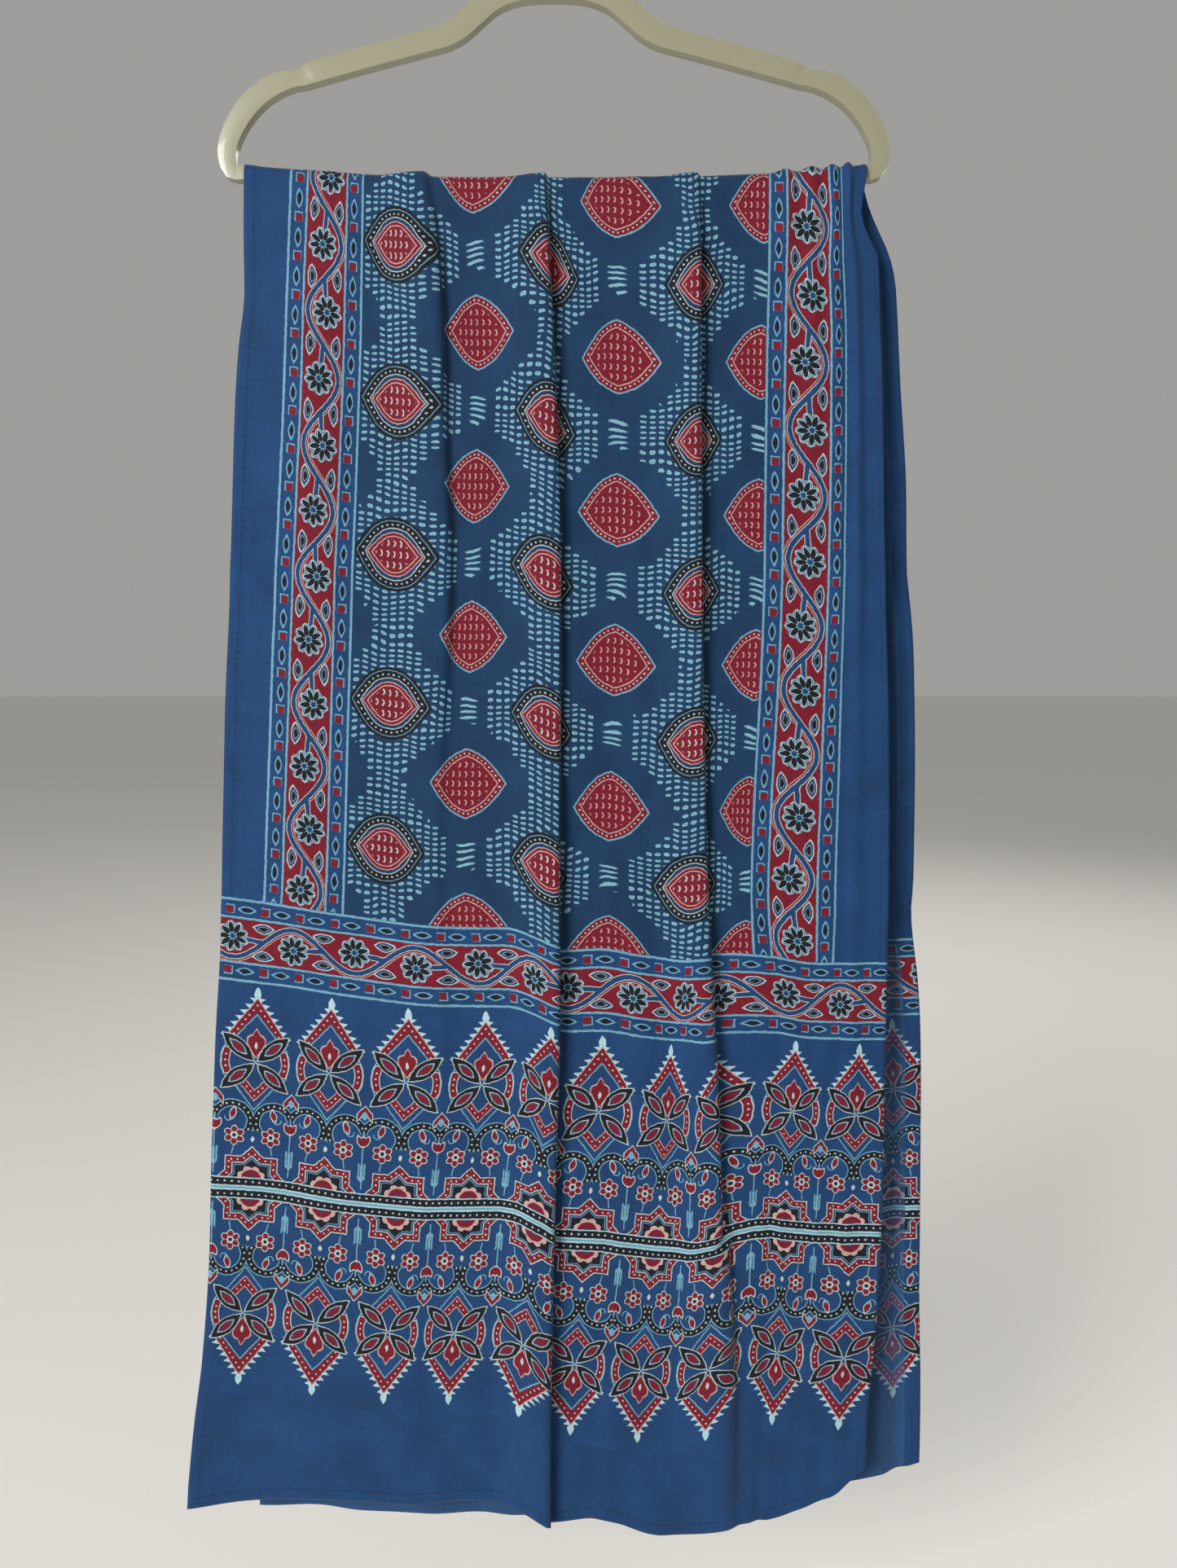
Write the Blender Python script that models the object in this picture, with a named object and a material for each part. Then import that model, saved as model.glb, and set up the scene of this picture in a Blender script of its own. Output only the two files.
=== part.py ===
"""Ajrakh cloth on its clothes hanger.

A block-printed cotton stole hangs doubled over the bar of a moulded plastic hanger, and the hanger's wire
hook goes over a rod. Metres, +Z up, +X to the right and -Y to the front. The origin is the hook's inner
crown, where a rod touches it.
"""

import math
from collections import namedtuple

import bmesh
import bpy
import numpy as np
from mathutils import Vector

CLEARANCE = 0.0003

# The hanger. Its heights are measured from the level of the bar's ends.
BAR_LEVEL = -0.1885
BAR_HEIGHT = 0.009
BAR_BOW = 0.0080
BAR_END = 0.2050
BAR_END_TOP = 0.0035
BAR_STATIONS = (0.0, 0.06, 0.125, 0.185, BAR_END)
FRAME_DEPTH = 0.008
FRAME_ROUND = 0.003
ARCH_TOP = BAR_LEVEL + 0.1225
STATION_STEP = 0.012

# One half of the hanger above its bar, round its end and shoulder to the top of the arch.
Station = namedtuple("Station", "across up width")
HANGER_HALF = (
    Station(0.2130, 0.0000, 0.0106),
    Station(0.2158, 0.0080, 0.0118),
    Station(0.2152, 0.0165, 0.0124),
    Station(0.2115, 0.0260, 0.0130),
    Station(0.2045, 0.0370, 0.0135),
    Station(0.1955, 0.0465, 0.0136),
    Station(0.1850, 0.0535, 0.0134),
    Station(0.1765, 0.0567, 0.0124),
    Station(0.1690, 0.0577, 0.0100),
    Station(0.1635, 0.0588, 0.0108),
    Station(0.1570, 0.0620, 0.0134),
    Station(0.1200, 0.0718, 0.0134),
    Station(0.0830, 0.0811, 0.0134),
    Station(0.0710, 0.0845, 0.0140),
    Station(0.0610, 0.0900, 0.0148),
    Station(0.0510, 0.0985, 0.0152),
    Station(0.0395, 0.1075, 0.0152),
    Station(0.0230, 0.1133, 0.0150),
    Station(0.0000, 0.1150, 0.0150),
)

# The hook: a bent wire whose stem stands in a boss on top of the arch.
WIRE_RADIUS = 0.0019
HOOK_INNER_RADIUS = 0.019
HOOK_START = math.radians(-52)
HOOK_MOUTH = math.radians(200)
HOOK_STEPS = 24
STEM_STRAIGHT = 0.012
BEND_DROP = 0.013
BEND_PULL = 0.011
BEND_STEPS = 7
BOSS_RADIUS = 0.0052
BOSS_HEIGHT = 0.006
BOSS_SUNK = 0.006
SOCKET_DEPTH = 0.016
SOCKET_OVERSHOOT = 0.014

# The cloth: a rectangle cut 0.53 m wide, hung over the bar with nearly half of its length on either side.
CLOTH_WIDTH = 0.53
SHEET = 0.0012
REST_GAP = 0.0005
TURN_RADIUS = FRAME_DEPTH / 2 + 0.0022 + SHEET / 2
STEPS_OVER_BAR = 6

# Where the sheet's edges run, by the share of the way from the bar down to the hem.
Edge = namedtuple("Edge", "down left right")
FRONT_EDGES = (
    Edge(0.00, -0.2044, 0.2048),
    Edge(0.026, -0.2070, 0.2025),
    Edge(0.058, -0.2080, 0.2165),
    Edge(0.12, -0.2125, 0.2200),
    Edge(0.20, -0.2185, 0.2220),
    Edge(0.30, -0.2235, 0.2250),
    Edge(0.45, -0.2315, 0.2305),
    Edge(0.55, -0.2365, 0.2325),
    Edge(0.70, -0.2475, 0.2335),
    Edge(0.82, -0.2555, 0.2335),
    Edge(0.92, -0.2655, 0.2310),
    Edge(1.00, -0.2745, 0.2270),
)
BACK_EDGES = (
    Edge(0.00, -0.2044, 0.2048),
    Edge(0.03, -0.2050, 0.2170),
    Edge(0.07, -0.2050, 0.2275),
    Edge(0.15, -0.2060, 0.2345),
    Edge(0.30, -0.2090, 0.2450),
    Edge(0.45, -0.2120, 0.2535),
    Edge(0.53, -0.2135, 0.2530),
    Edge(0.62, -0.2160, 0.2610),
    Edge(0.80, -0.2205, 0.2680),
    Edge(1.00, -0.2250, 0.2720),
)

# How far the hems hang below the bar's ends, by the distance across the flat cloth from its left edge.
Hem = namedtuple("Hem", "across front back")
HEMS = (
    Hem(0.000, 0.9450, 0.9560),
    Hem(0.080, 0.9370, 0.9600),
    Hem(0.160, 0.9405, 0.9640),
    Hem(0.225, 0.9375, 0.9640),
    Hem(0.250, 0.9425, 0.9630),
    Hem(0.278, 0.9550, 0.9600),
    Hem(0.318, 0.9520, 0.9560),
    Hem(0.372, 0.9655, 0.9500),
    Hem(0.418, 0.9590, 0.9450),
    Hem(0.451, 0.9540, 0.9410),
    Hem(0.503, 0.9355, 0.9310),
    Hem(0.530, 0.9120, 0.9220),
)

# The folds run down the cloth. Each has the place of its crest across the flat cloth at the bar, half way
# down and at the hem, the lengths of cloth that rise to it and fall from it, and how far it stands out at
# five levels in front and two behind: negative goes in. The three steep ones are pleats that lean right.
FOLD_LEVELS = (0.0, 0.12, 0.40, 0.72, 1.0)
BACK_LEVELS = (0.0, 0.12, 0.45, 1.0)
PLACE_LEVELS = (0.0, 0.5, 1.0)
Fold = namedtuple("Fold", "at_bar at_middle at_hem rise fall bar upper middle lower hem back_middle back_hem")
FOLDS = (
    Fold(0.055, 0.050, 0.042, 0.045, 0.040, 0.0008, 0.0030, 0.0024, -0.0020, -0.0030, 0.003, 0.003),
    Fold(0.153, 0.173, 0.176, 0.045, 0.0130, 0.0028, 0.0085, 0.0028, 0.0008, 0.0006, 0.004, 0.003),
    Fold(0.256, 0.2655, 0.278, 0.048, 0.0155, 0.0030, 0.0108, 0.0115, 0.0118, 0.0112, 0.005, 0.006),
    Fold(0.312, 0.318, 0.325, 0.028, 0.0300, 0.0008, 0.0015, 0.0022, 0.0020, 0.0030, -0.003, -0.004),
    Fold(0.385, 0.386, 0.422, 0.042, 0.0180, 0.0032, 0.0110, 0.0105, 0.0095, 0.0055, -0.005, -0.003),
    Fold(0.424, 0.436, 0.448, 0.020, 0.0240, 0.0010, -0.0016, -0.0030, -0.0036, -0.0030, 0.003, 0.004),
    Fold(0.462, 0.470, 0.478, 0.013, 0.0105, 0.0030, 0.0032, 0.0012, 0.0008, 0.0004, 0.002, 0.001),
    Fold(0.482, 0.490, 0.496, 0.012, 0.0105, 0.0028, 0.0030, 0.0024, 0.0012, 0.0008, 0.002, 0.002),
    Fold(0.502, 0.508, 0.512, 0.013, 0.0110, 0.0032, 0.0048, 0.0020, 0.0016, 0.0024, 0.004, 0.003),
)
MOST_LEAN = 1.95
SAMPLES_ACROSS = 1061
STEEP_FALL = 0.019
STEEP_LEAD = 0.008
COLUMN_GAP = 0.0125
FOLD_COLUMN_GAP = 0.0057
FRONT_ROWS = (0.014, 0.035, 0.065, 0.11, 0.17, 0.26, 0.37, 0.49, 0.62, 0.75, 0.88, 1.0)
BACK_ROWS = (0.014, 0.04, 0.09, 0.18, 0.32, 0.48, 0.66, 0.84, 1.0)
LAYER_SPREAD = 0.0030
SPREAD_BY = 0.625


def new_material(name, colour, roughness, metallic=0.0):
    material = bpy.data.materials.new(name)
    material.use_nodes = True
    shader = material.node_tree.nodes["Principled BSDF"]
    shader.inputs["Base Color"].default_value = (*colour, 1.0)
    shader.inputs["Roughness"].default_value = roughness
    shader.inputs["Metallic"].default_value = metallic
    return material


def add_object(name, mesh, material):
    mesh.materials.append(material)
    thing = bpy.data.objects.new(name, mesh)
    bpy.context.scene.collection.objects.link(thing)
    return thing


def mesh_from(name, vertices, faces):
    mesh = bpy.data.meshes.new(name)
    mesh.from_pydata([tuple(map(float, point)) for point in vertices], [], faces)
    mesh.update()
    return mesh


def smooth_through(knots, at, values):
    """A smooth curve through the values at the knots, which never overshoots them (monotone cubic)."""
    knots = np.asarray(knots, float)
    values = np.asarray(values, float)
    slope = np.diff(values) / np.diff(knots)
    tangent = np.zeros(len(values))
    same_way = slope[1:] * slope[:-1] > 0
    tangent[1:-1][same_way] = 2 * (slope[1:] * slope[:-1])[same_way] / (slope[1:] + slope[:-1])[same_way]
    tangent[0], tangent[-1] = slope[0], slope[-1]
    at = np.clip(at, knots[0], knots[-1])
    left = np.clip(np.searchsorted(knots, at, side="right") - 1, 0, len(knots) - 2)
    span = knots[left + 1] - knots[left]
    t = (at - knots[left]) / span
    return (
        (2 * t**3 - 3 * t**2 + 1) * values[left]
        + (t**3 - 2 * t**2 + t) * span * tangent[left]
        + (3 * t**2 - 2 * t**3) * values[left + 1]
        + (t**3 - t**2) * span * tangent[left + 1]
    )


def bar_top(x):
    """The height of the bar's upper face over its ends' level: it bows down to a nearly straight middle."""
    return BAR_END_TOP - BAR_BOW * (1 - np.minimum(1, np.abs(x) / BAR_END) ** 3)


def hanger_loop():
    """Stations round the whole loop: points (x, z), outward directions and widths."""
    bar = [(across, bar_top(across) - BAR_HEIGHT / 2, BAR_HEIGHT) for across in BAR_STATIONS]
    half = np.array(bar + list(HANGER_HALF))
    mirrored = half[-2:0:-1] * (-1, 1, 1)
    knots = np.vstack([half, mirrored])
    count = len(knots)
    points = []
    for n in range(count):
        before, start, end, after = (knots[(n + k) % count] for k in (-1, 0, 1, 2))
        steps = max(1, round(np.hypot(*(end - start)[:2]) / STATION_STEP))
        for step in range(steps):
            t = step / steps
            points.append(
                0.5
                * (
                    2 * start
                    + (end - before) * t
                    + (2 * before - 5 * start + 4 * end - after) * t**2
                    + (3 * start - before - 3 * end + after) * t**3
                )
            )
    points = np.array(points)
    along = np.roll(points, -1, axis=0)[:, :2] - np.roll(points, 1, axis=0)[:, :2]
    along /= np.hypot(along[:, 0], along[:, 1])[:, None]
    outward = np.column_stack([along[:, 1], -along[:, 0]])
    return points[:, :2] + (0, BAR_LEVEL), outward, points[:, 2]


def rounded_section(width, depth, radius, corner_steps=2):
    """Points (outward, y) round a rounded rectangle."""
    points = []
    for quarter, (side, front) in enumerate(((1, 1), (-1, 1), (-1, -1), (1, -1))):
        for step in range(corner_steps + 1):
            angle = math.pi / 2 * (quarter + step / corner_steps)
            points.append(
                (
                    side * (width / 2 - radius) + radius * math.cos(angle),
                    front * (depth / 2 - radius) + radius * math.sin(angle),
                )
            )
    return points


def add_cutter(name, radius, bottom, top, sides=32):
    bpy.ops.mesh.primitive_cylinder_add(
        vertices=sides, radius=radius, depth=top - bottom, location=(0, 0, (top + bottom) / 2)
    )
    cutter = bpy.context.object
    cutter.name = name
    cutter.hide_render = True
    cutter.display_type = "WIRE"
    return cutter


def build_hanger_frame(material):
    """One moulded loop: bar, ends, notched shoulders and arch, with a boss for the hook on top."""
    centres, outward, widths = hanger_loop()
    vertices = []
    for centre, out, width in zip(centres, outward, widths):
        for across, y in rounded_section(width, FRAME_DEPTH, FRAME_ROUND):
            vertices.append((centre[0] + across * out[0], y, centre[1] + across * out[1]))
    stations = len(centres)
    ring = len(vertices) // stations
    faces = []
    for n in range(stations):
        for k in range(ring):
            this, following = n * ring, (n + 1) % stations * ring
            faces.append((this + k, this + (k + 1) % ring, following + (k + 1) % ring, following + k))
    mesh = mesh_from("hanger_frame", vertices, faces)
    shell = bmesh.new()
    shell.from_mesh(mesh)
    bmesh.ops.recalc_face_normals(shell, faces=shell.faces)
    shell.to_mesh(mesh)
    shell.free()
    frame = add_object("hanger_frame", mesh, material)
    boss_top = ARCH_TOP + BOSS_HEIGHT
    boss = add_cutter("boss_guide", BOSS_RADIUS, ARCH_TOP - BOSS_SUNK, boss_top)
    boss.data.materials.append(material)
    socket = add_cutter(
        "socket_cutter", WIRE_RADIUS + CLEARANCE, boss_top - SOCKET_DEPTH, boss_top + SOCKET_OVERSHOOT
    )
    for operation, other in (("UNION", boss), ("DIFFERENCE", socket)):
        modifier = frame.modifiers.new(other.name, "BOOLEAN")
        modifier.operation = operation
        modifier.object = other
    mesh.shade_smooth()
    return frame


def build_hook(material):
    """A bent wire: straight stem, a curve out to the side, then round over the rod to an open mouth."""
    ring = HOOK_INNER_RADIUS + WIRE_RADIUS
    centre = WIRE_RADIUS - ring
    foot = ARCH_TOP + BOSS_HEIGHT - SOCKET_DEPTH + CLEARANCE
    join = Vector((ring * math.cos(HOOK_START), 0, centre + ring * math.sin(HOOK_START)))
    direction = Vector((-math.sin(HOOK_START), 0, math.cos(HOOK_START)))
    bend_start = Vector((0, 0, join.z - BEND_DROP))
    route = [Vector((0, 0, foot)), Vector((0, 0, foot + STEM_STRAIGHT))]
    controls = (bend_start, bend_start + Vector((0, 0, BEND_PULL)), join - direction * BEND_PULL, join)
    for step in range(BEND_STEPS):
        t = step / BEND_STEPS
        weights = ((1 - t) ** 3, 3 * t * (1 - t) ** 2, 3 * t**2 * (1 - t), t**3)
        route.append(sum((point * weight for point, weight in zip(controls, weights)), Vector()))
    for step in range(HOOK_STEPS + 1):
        angle = HOOK_START + (HOOK_MOUTH - HOOK_START) * step / HOOK_STEPS
        route.append(Vector((ring * math.cos(angle), 0, centre + ring * math.sin(angle))))
    curve = bpy.data.curves.new("hook", "CURVE")
    curve.dimensions = "3D"
    curve.bevel_depth = WIRE_RADIUS
    curve.bevel_resolution = 3
    curve.use_fill_caps = True
    spline = curve.splines.new("POLY")
    spline.points.add(len(route) - 1)
    for point, place in zip(spline.points, route):
        point.co = (*place, 1)
    return add_object("hook", curve, material)


def lean_for(share):
    """The greatest turn, in radians, of a flank whose height is this share of the length of cloth in it."""
    leans = np.linspace(0, MOST_LEAN, 40)
    along = np.linspace(0, math.pi, 181)
    heights = [np.sin(lean * np.sin(along)).mean() for lean in leans]
    return np.interp(share, heights, leans)


def section(down, layer, across):
    """Across the sheet at one level: where each flat distance lies along X, and how far it stands out."""
    fine = np.linspace(0, CLOTH_WIDTH, SAMPLES_ACROSS)
    direction = np.zeros_like(fine)
    for fold in FOLDS:
        crest = smooth_through(PLACE_LEVELS, down, (fold.at_bar, fold.at_middle, fold.at_hem))
        if layer == "front":
            heights = (fold.bar, fold.upper, fold.middle, fold.lower, fold.hem)
            height = smooth_through(FOLD_LEVELS, down, heights)
        else:
            heights = (fold.bar, fold.bar, fold.back_middle, fold.back_hem)
            height = smooth_through(BACK_LEVELS, down, heights)
        for flank, side in ((fold.rise, -1), (fold.fall, 1)):
            lean = math.copysign(lean_for(abs(height) / flank), -side * height)
            share = np.clip(side * (fine - crest) / flank, 0, 1)
            direction += lean * np.sin(math.pi * share)
    step = fine[1] - fine[0]
    middle = (direction[1:] + direction[:-1]) / 2
    x = np.concatenate([[0], np.cumsum(np.cos(middle)) * step])
    out = np.concatenate([[0], np.cumsum(np.sin(middle)) * step])
    out -= out[-1] * fine / CLOTH_WIDTH
    if down == 0:
        out -= out.min()
    edges = np.array(FRONT_EDGES if layer == "front" else BACK_EDGES)
    left = smooth_through(edges[:, 0], down, edges[:, 1])
    right = smooth_through(edges[:, 0], down, edges[:, 2])
    x = left + (right - left) * x / x[-1]
    return np.interp(across, fine, x), np.interp(across, fine, out)


def column_places():
    """Distances across the flat cloth for the grid's columns, closer together where the folds are."""
    places = [0.0]
    while places[-1] < CLOTH_WIDTH - FOLD_COLUMN_GAP:
        here = places[-1]
        near_steep = any(
            fold.fall < STEEP_FALL and fold.at_bar - STEEP_LEAD < here < fold.at_hem + fold.fall
            for fold in FOLDS
        )
        places.append(here + (FOLD_COLUMN_GAP if near_steep else COLUMN_GAP))
    places[-1] = CLOTH_WIDTH
    return np.array(places)


def build_cloth(material):
    """The stole: a sheet that runs from the front hem up over the bar and down to the back hem."""
    across = column_places()
    hems = np.array(HEMS)
    x_bar, out_bar = section(0, "front", across)
    turn_centre = BAR_LEVEL + bar_top(x_bar) + REST_GAP + SHEET / 2 - TURN_RADIUS
    rows = []

    def hanging_row(down, layer):
        x, out = section(down, layer, across)
        side = -1 if layer == "front" else 1
        drop = smooth_through(hems[:, 0], across, hems[:, 1 if layer == "front" else 2])
        z = turn_centre + (BAR_LEVEL - drop - turn_centre) * down
        spread = TURN_RADIUS + LAYER_SPREAD * math.sin(math.pi / 2 * min(1, down / SPREAD_BY))
        return np.column_stack([x, side * (spread + out), z])

    for down in reversed(FRONT_ROWS):
        rows.append(hanging_row(down, "front"))
    reach = TURN_RADIUS + out_bar
    for step in range(STEPS_OVER_BAR + 1):
        angle = math.pi * step / STEPS_OVER_BAR
        rows.append(np.column_stack([x_bar, -reach * math.cos(angle), turn_centre + reach * math.sin(angle)]))
    for down in BACK_ROWS:
        rows.append(hanging_row(down, "back"))

    columns = len(across)
    faces = []
    for row in range(len(rows) - 1):
        for column in range(columns - 1):
            corner = row * columns + column
            faces.append((corner, corner + 1, corner + 1 + columns, corner + columns))
    mesh = mesh_from("cloth", np.vstack(rows), faces)
    cloth = add_object("cloth", mesh, material)
    thickness = cloth.modifiers.new("thickness", "SOLIDIFY")
    thickness.thickness = SHEET
    thickness.offset = 0
    mesh.shade_smooth()
    return cloth


def main():
    for thing in list(bpy.data.objects):
        bpy.data.objects.remove(thing)
    ivory = new_material("ivory plastic", (0.72, 0.70, 0.56), 0.3)
    steel = new_material("plated wire", (0.72, 0.72, 0.70), 0.25, 1.0)
    indigo = new_material("indigo cotton", (0.02, 0.07, 0.19), 0.9)
    build_hanger_frame(ivory)
    build_hook(steel)
    build_cloth(indigo)


main()
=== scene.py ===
"""The looks of an ajrakh stole hung over the bar of a moulded clothes hanger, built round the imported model."""

import math
from collections import namedtuple

import bpy
import numpy as np
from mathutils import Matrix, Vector, noise


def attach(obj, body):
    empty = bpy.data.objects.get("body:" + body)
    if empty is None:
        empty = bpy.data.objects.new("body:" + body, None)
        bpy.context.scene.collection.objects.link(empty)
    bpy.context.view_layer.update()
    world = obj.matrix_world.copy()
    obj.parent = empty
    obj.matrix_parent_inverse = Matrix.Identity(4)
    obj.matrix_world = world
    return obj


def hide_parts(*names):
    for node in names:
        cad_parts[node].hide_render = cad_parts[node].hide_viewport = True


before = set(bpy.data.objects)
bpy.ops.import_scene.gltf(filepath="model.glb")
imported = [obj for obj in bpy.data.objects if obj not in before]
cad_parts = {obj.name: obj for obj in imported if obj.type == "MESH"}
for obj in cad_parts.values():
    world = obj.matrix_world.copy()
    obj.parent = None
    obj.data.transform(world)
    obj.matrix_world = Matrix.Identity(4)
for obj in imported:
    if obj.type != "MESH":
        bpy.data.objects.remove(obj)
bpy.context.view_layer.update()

# Hanger frame
# A one-piece moulding in glossy ivory plastic: a rounded flat loop of bar, ends, notched shoulders and arch.
# A short boss on top of the arch holds the wire hook. The mould leaves every edge rounded.
BAR_LEVEL = -0.1885
BAR_HEIGHT = 0.009
BAR_BOW = 0.0080
BAR_END = 0.2050
BAR_END_TOP = 0.0035
BAR_STATIONS = (0.0, 0.06, 0.125, 0.185, BAR_END)
FRAME_DEPTH = 0.008
FRAME_ROUND = 0.0032
STATION_STEP = 0.0045
ARCH_TOP = BAR_LEVEL + 0.1225
BOSS_RADIUS = 0.0052
BOSS_HEIGHT = 0.006
BOSS_SUNK = 0.006
Station = namedtuple("Station", "across up width")
HANGER_HALF = (
    Station(0.2130, 0.0000, 0.0106),
    Station(0.2158, 0.0080, 0.0118),
    Station(0.2152, 0.0165, 0.0124),
    Station(0.2115, 0.0260, 0.0130),
    Station(0.2045, 0.0370, 0.0135),
    Station(0.1955, 0.0465, 0.0136),
    Station(0.1850, 0.0535, 0.0134),
    Station(0.1765, 0.0567, 0.0124),
    Station(0.1690, 0.0577, 0.0100),
    Station(0.1635, 0.0588, 0.0108),
    Station(0.1570, 0.0620, 0.0134),
    Station(0.1200, 0.0718, 0.0134),
    Station(0.0830, 0.0811, 0.0134),
    Station(0.0710, 0.0845, 0.0140),
    Station(0.0610, 0.0900, 0.0148),
    Station(0.0510, 0.0985, 0.0152),
    Station(0.0395, 0.1075, 0.0152),
    Station(0.0230, 0.1133, 0.0150),
    Station(0.0000, 0.1150, 0.0150),
)


def bar_top(x):
    """The height of the bar's upper face over its ends' level: it bows down to a nearly straight middle."""
    return BAR_END_TOP - BAR_BOW * (1 - np.minimum(1, np.abs(x) / BAR_END) ** 3)


def half_loop():
    """Closely spaced stations (x, z, width) from the bar's middle round one end to the top of the arch."""
    bar = [(across, bar_top(across) - BAR_HEIGHT / 2, BAR_HEIGHT) for across in BAR_STATIONS]
    knots = np.array(bar + list(HANGER_HALF))
    mirror = np.array((-1, 1, 1))
    knots = np.vstack([knots[1] * mirror, knots, knots[-2] * mirror])
    points = []
    for before, start, end, after in zip(knots, knots[1:], knots[2:], knots[3:]):
        steps = max(1, round(np.hypot(*(end - start)[:2]) / STATION_STEP))
        for t in np.arange(steps) / steps:
            curve = 2 * start + (end - before) * t
            curve += (2 * before - 5 * start + 4 * end - after) * t**2
            curve += (3 * start - before - 3 * end + after) * t**3
            points.append(curve / 2)
    points.append(knots[-2])
    return np.array(points) + (0, BAR_LEVEL, 0)


def start_fresh():
    """Leaves edit mode and deselects everything."""
    if bpy.context.mode != "OBJECT":
        bpy.ops.object.mode_set(mode="OBJECT")
    bpy.ops.object.select_all(action="DESELECT")


def add_modifier(thing, kind, **settings):
    """Adds a modifier with its settings and applies it at once."""
    modifier = thing.modifiers.new(kind.lower(), kind)
    for name, value in settings.items():
        setattr(modifier, name, value)
    bpy.context.view_layer.objects.active = thing
    bpy.ops.object.modifier_apply(modifier=modifier.name)


loop = half_loop()
start_fresh()
bpy.ops.mesh.primitive_plane_add(size=1)
hanger = bpy.context.object
hanger.name = "hanger_moulding"
bpy.ops.object.mode_set(mode="EDIT")
bpy.ops.mesh.merge(type="CENTER")
bpy.ops.transform.translate(value=(0, 0, loop[0][1] - loop[0][2] / 2))
bpy.ops.mesh.extrude_region_move(TRANSFORM_OT_translate={"value": (0, 0, loop[0][2])})
bpy.ops.mesh.select_all(action="SELECT")
headings = np.arctan2(np.gradient(loop[:, 1]), np.gradient(loop[:, 0]))
headings = np.unwrap(headings)
headings[0] = 0
headings[-1] = math.pi
for n in range(1, len(loop)):
    step = loop[n] - loop[n - 1]
    centre = (loop[n][0], 0, loop[n][1])
    bpy.ops.mesh.extrude_region_move(TRANSFORM_OT_translate={"value": (step[0], 0, step[1])})
    bpy.ops.transform.rotate(value=headings[n] - headings[n - 1], orient_axis="Y", center_override=centre)
    grow = loop[n][2] / loop[n - 1][2]
    bpy.ops.transform.resize(value=(grow, grow, grow), center_override=centre)
start_fresh()
hanger.select_set(True)
add_modifier(hanger, "MIRROR", use_axis=(True, False, False), merge_threshold=0.0002)
add_modifier(hanger, "SOLIDIFY", thickness=FRAME_DEPTH, offset=0)
add_modifier(hanger, "BEVEL", width=FRAME_ROUND, segments=5, limit_method="ANGLE", angle_limit=math.radians(50))
start_fresh()
bpy.ops.mesh.primitive_cylinder_add(
    vertices=48,
    radius=BOSS_RADIUS,
    depth=BOSS_SUNK + BOSS_HEIGHT,
    location=(0, 0, ARCH_TOP + (BOSS_HEIGHT - BOSS_SUNK) / 2),
)
boss = bpy.context.object
add_modifier(boss, "BEVEL", width=0.0008, segments=3, limit_method="ANGLE")
hanger.select_set(True)
bpy.context.view_layer.objects.active = hanger
bpy.ops.object.join()
bpy.ops.object.transform_apply(location=True, rotation=True, scale=True)
bpy.ops.object.mode_set(mode="EDIT")
bpy.ops.mesh.select_all(action="SELECT")
bpy.ops.mesh.normals_make_consistent(inside=False)
bpy.ops.object.mode_set(mode="OBJECT")
bpy.ops.object.shade_smooth_by_angle(angle=math.radians(40))
start_fresh()


def plain_material(name, colour, roughness, metallic=0.0, coat=0.0):
    """A material of one colour all over."""
    material = bpy.data.materials.new(name)
    material.use_nodes = True
    shader = material.node_tree.nodes["Principled BSDF"]
    shader.inputs["Base Color"].default_value = colour
    shader.inputs["Roughness"].default_value = roughness
    shader.inputs["Metallic"].default_value = metallic
    shader.inputs["Coat Weight"].default_value = coat
    return material


IVORY = (0.27, 0.258, 0.172, 1.0)
hanger.data.materials.clear()
hanger.data.materials.append(plain_material("ivory plastic", IVORY, 0.28, coat=0.25))


# Hook
# Plated steel wire, bent cold: a straight stem pushed into the boss, a curve out to one side, then round over
# the rod to an open mouth. Its end is rounded off.
WIRE_RADIUS = 0.0019
HOOK_INNER_RADIUS = 0.019
HOOK_START = math.radians(-52)
HOOK_MOUTH = math.radians(200)
HOOK_ARCS = 4
SOCKET_DEPTH = 0.016
STEM_CLEARANCE = 0.0003
BEND_DROP = 0.013
BEND_PULL = 0.011
ring_radius = HOOK_INNER_RADIUS + WIRE_RADIUS
ring_centre = Vector((0, 0, WIRE_RADIUS - ring_radius))


def on_ring(angle):
    """A point of the hook's round part and the direction of the wire there."""
    outward = Vector((math.cos(angle), 0, math.sin(angle)))
    return ring_centre + outward * ring_radius, Vector((-outward.z, 0, outward.x))


join, join_direction = on_ring(HOOK_START)
foot = Vector((0, 0, ARCH_TOP + BOSS_HEIGHT - SOCKET_DEPTH + STEM_CLEARANCE))
bend_start = Vector((0, 0, join.z - BEND_DROP))
arc = (HOOK_MOUTH - HOOK_START) / HOOK_ARCS
arc_pull = 4 / 3 * math.tan(arc / 4) * ring_radius
upward = Vector((0, 0, 1))
route = [(foot, upward, BEND_PULL, BEND_PULL), (bend_start, upward, BEND_PULL, BEND_PULL)]
for n in range(HOOK_ARCS + 1):
    point, direction = on_ring(HOOK_START + arc * n)
    route.append((point, direction, arc_pull if n else BEND_PULL, arc_pull))
start_fresh()
bpy.ops.curve.primitive_bezier_curve_add()
hook = bpy.context.object
hook.name = "hook_wire"
spline = hook.data.splines[0]
spline.bezier_points.add(len(route) - 2)
for knot, (point, direction, before, after) in zip(spline.bezier_points, route):
    knot.handle_left_type = knot.handle_right_type = "FREE"
    knot.co = point
    knot.handle_left = point - direction * before
    knot.handle_right = point + direction * after
hook.data.resolution_u = 14
hook.data.bevel_depth = WIRE_RADIUS
hook.data.bevel_resolution = 5
bpy.ops.object.convert(target="MESH")
tip_place, tip_direction = on_ring(HOOK_MOUTH)
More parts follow.
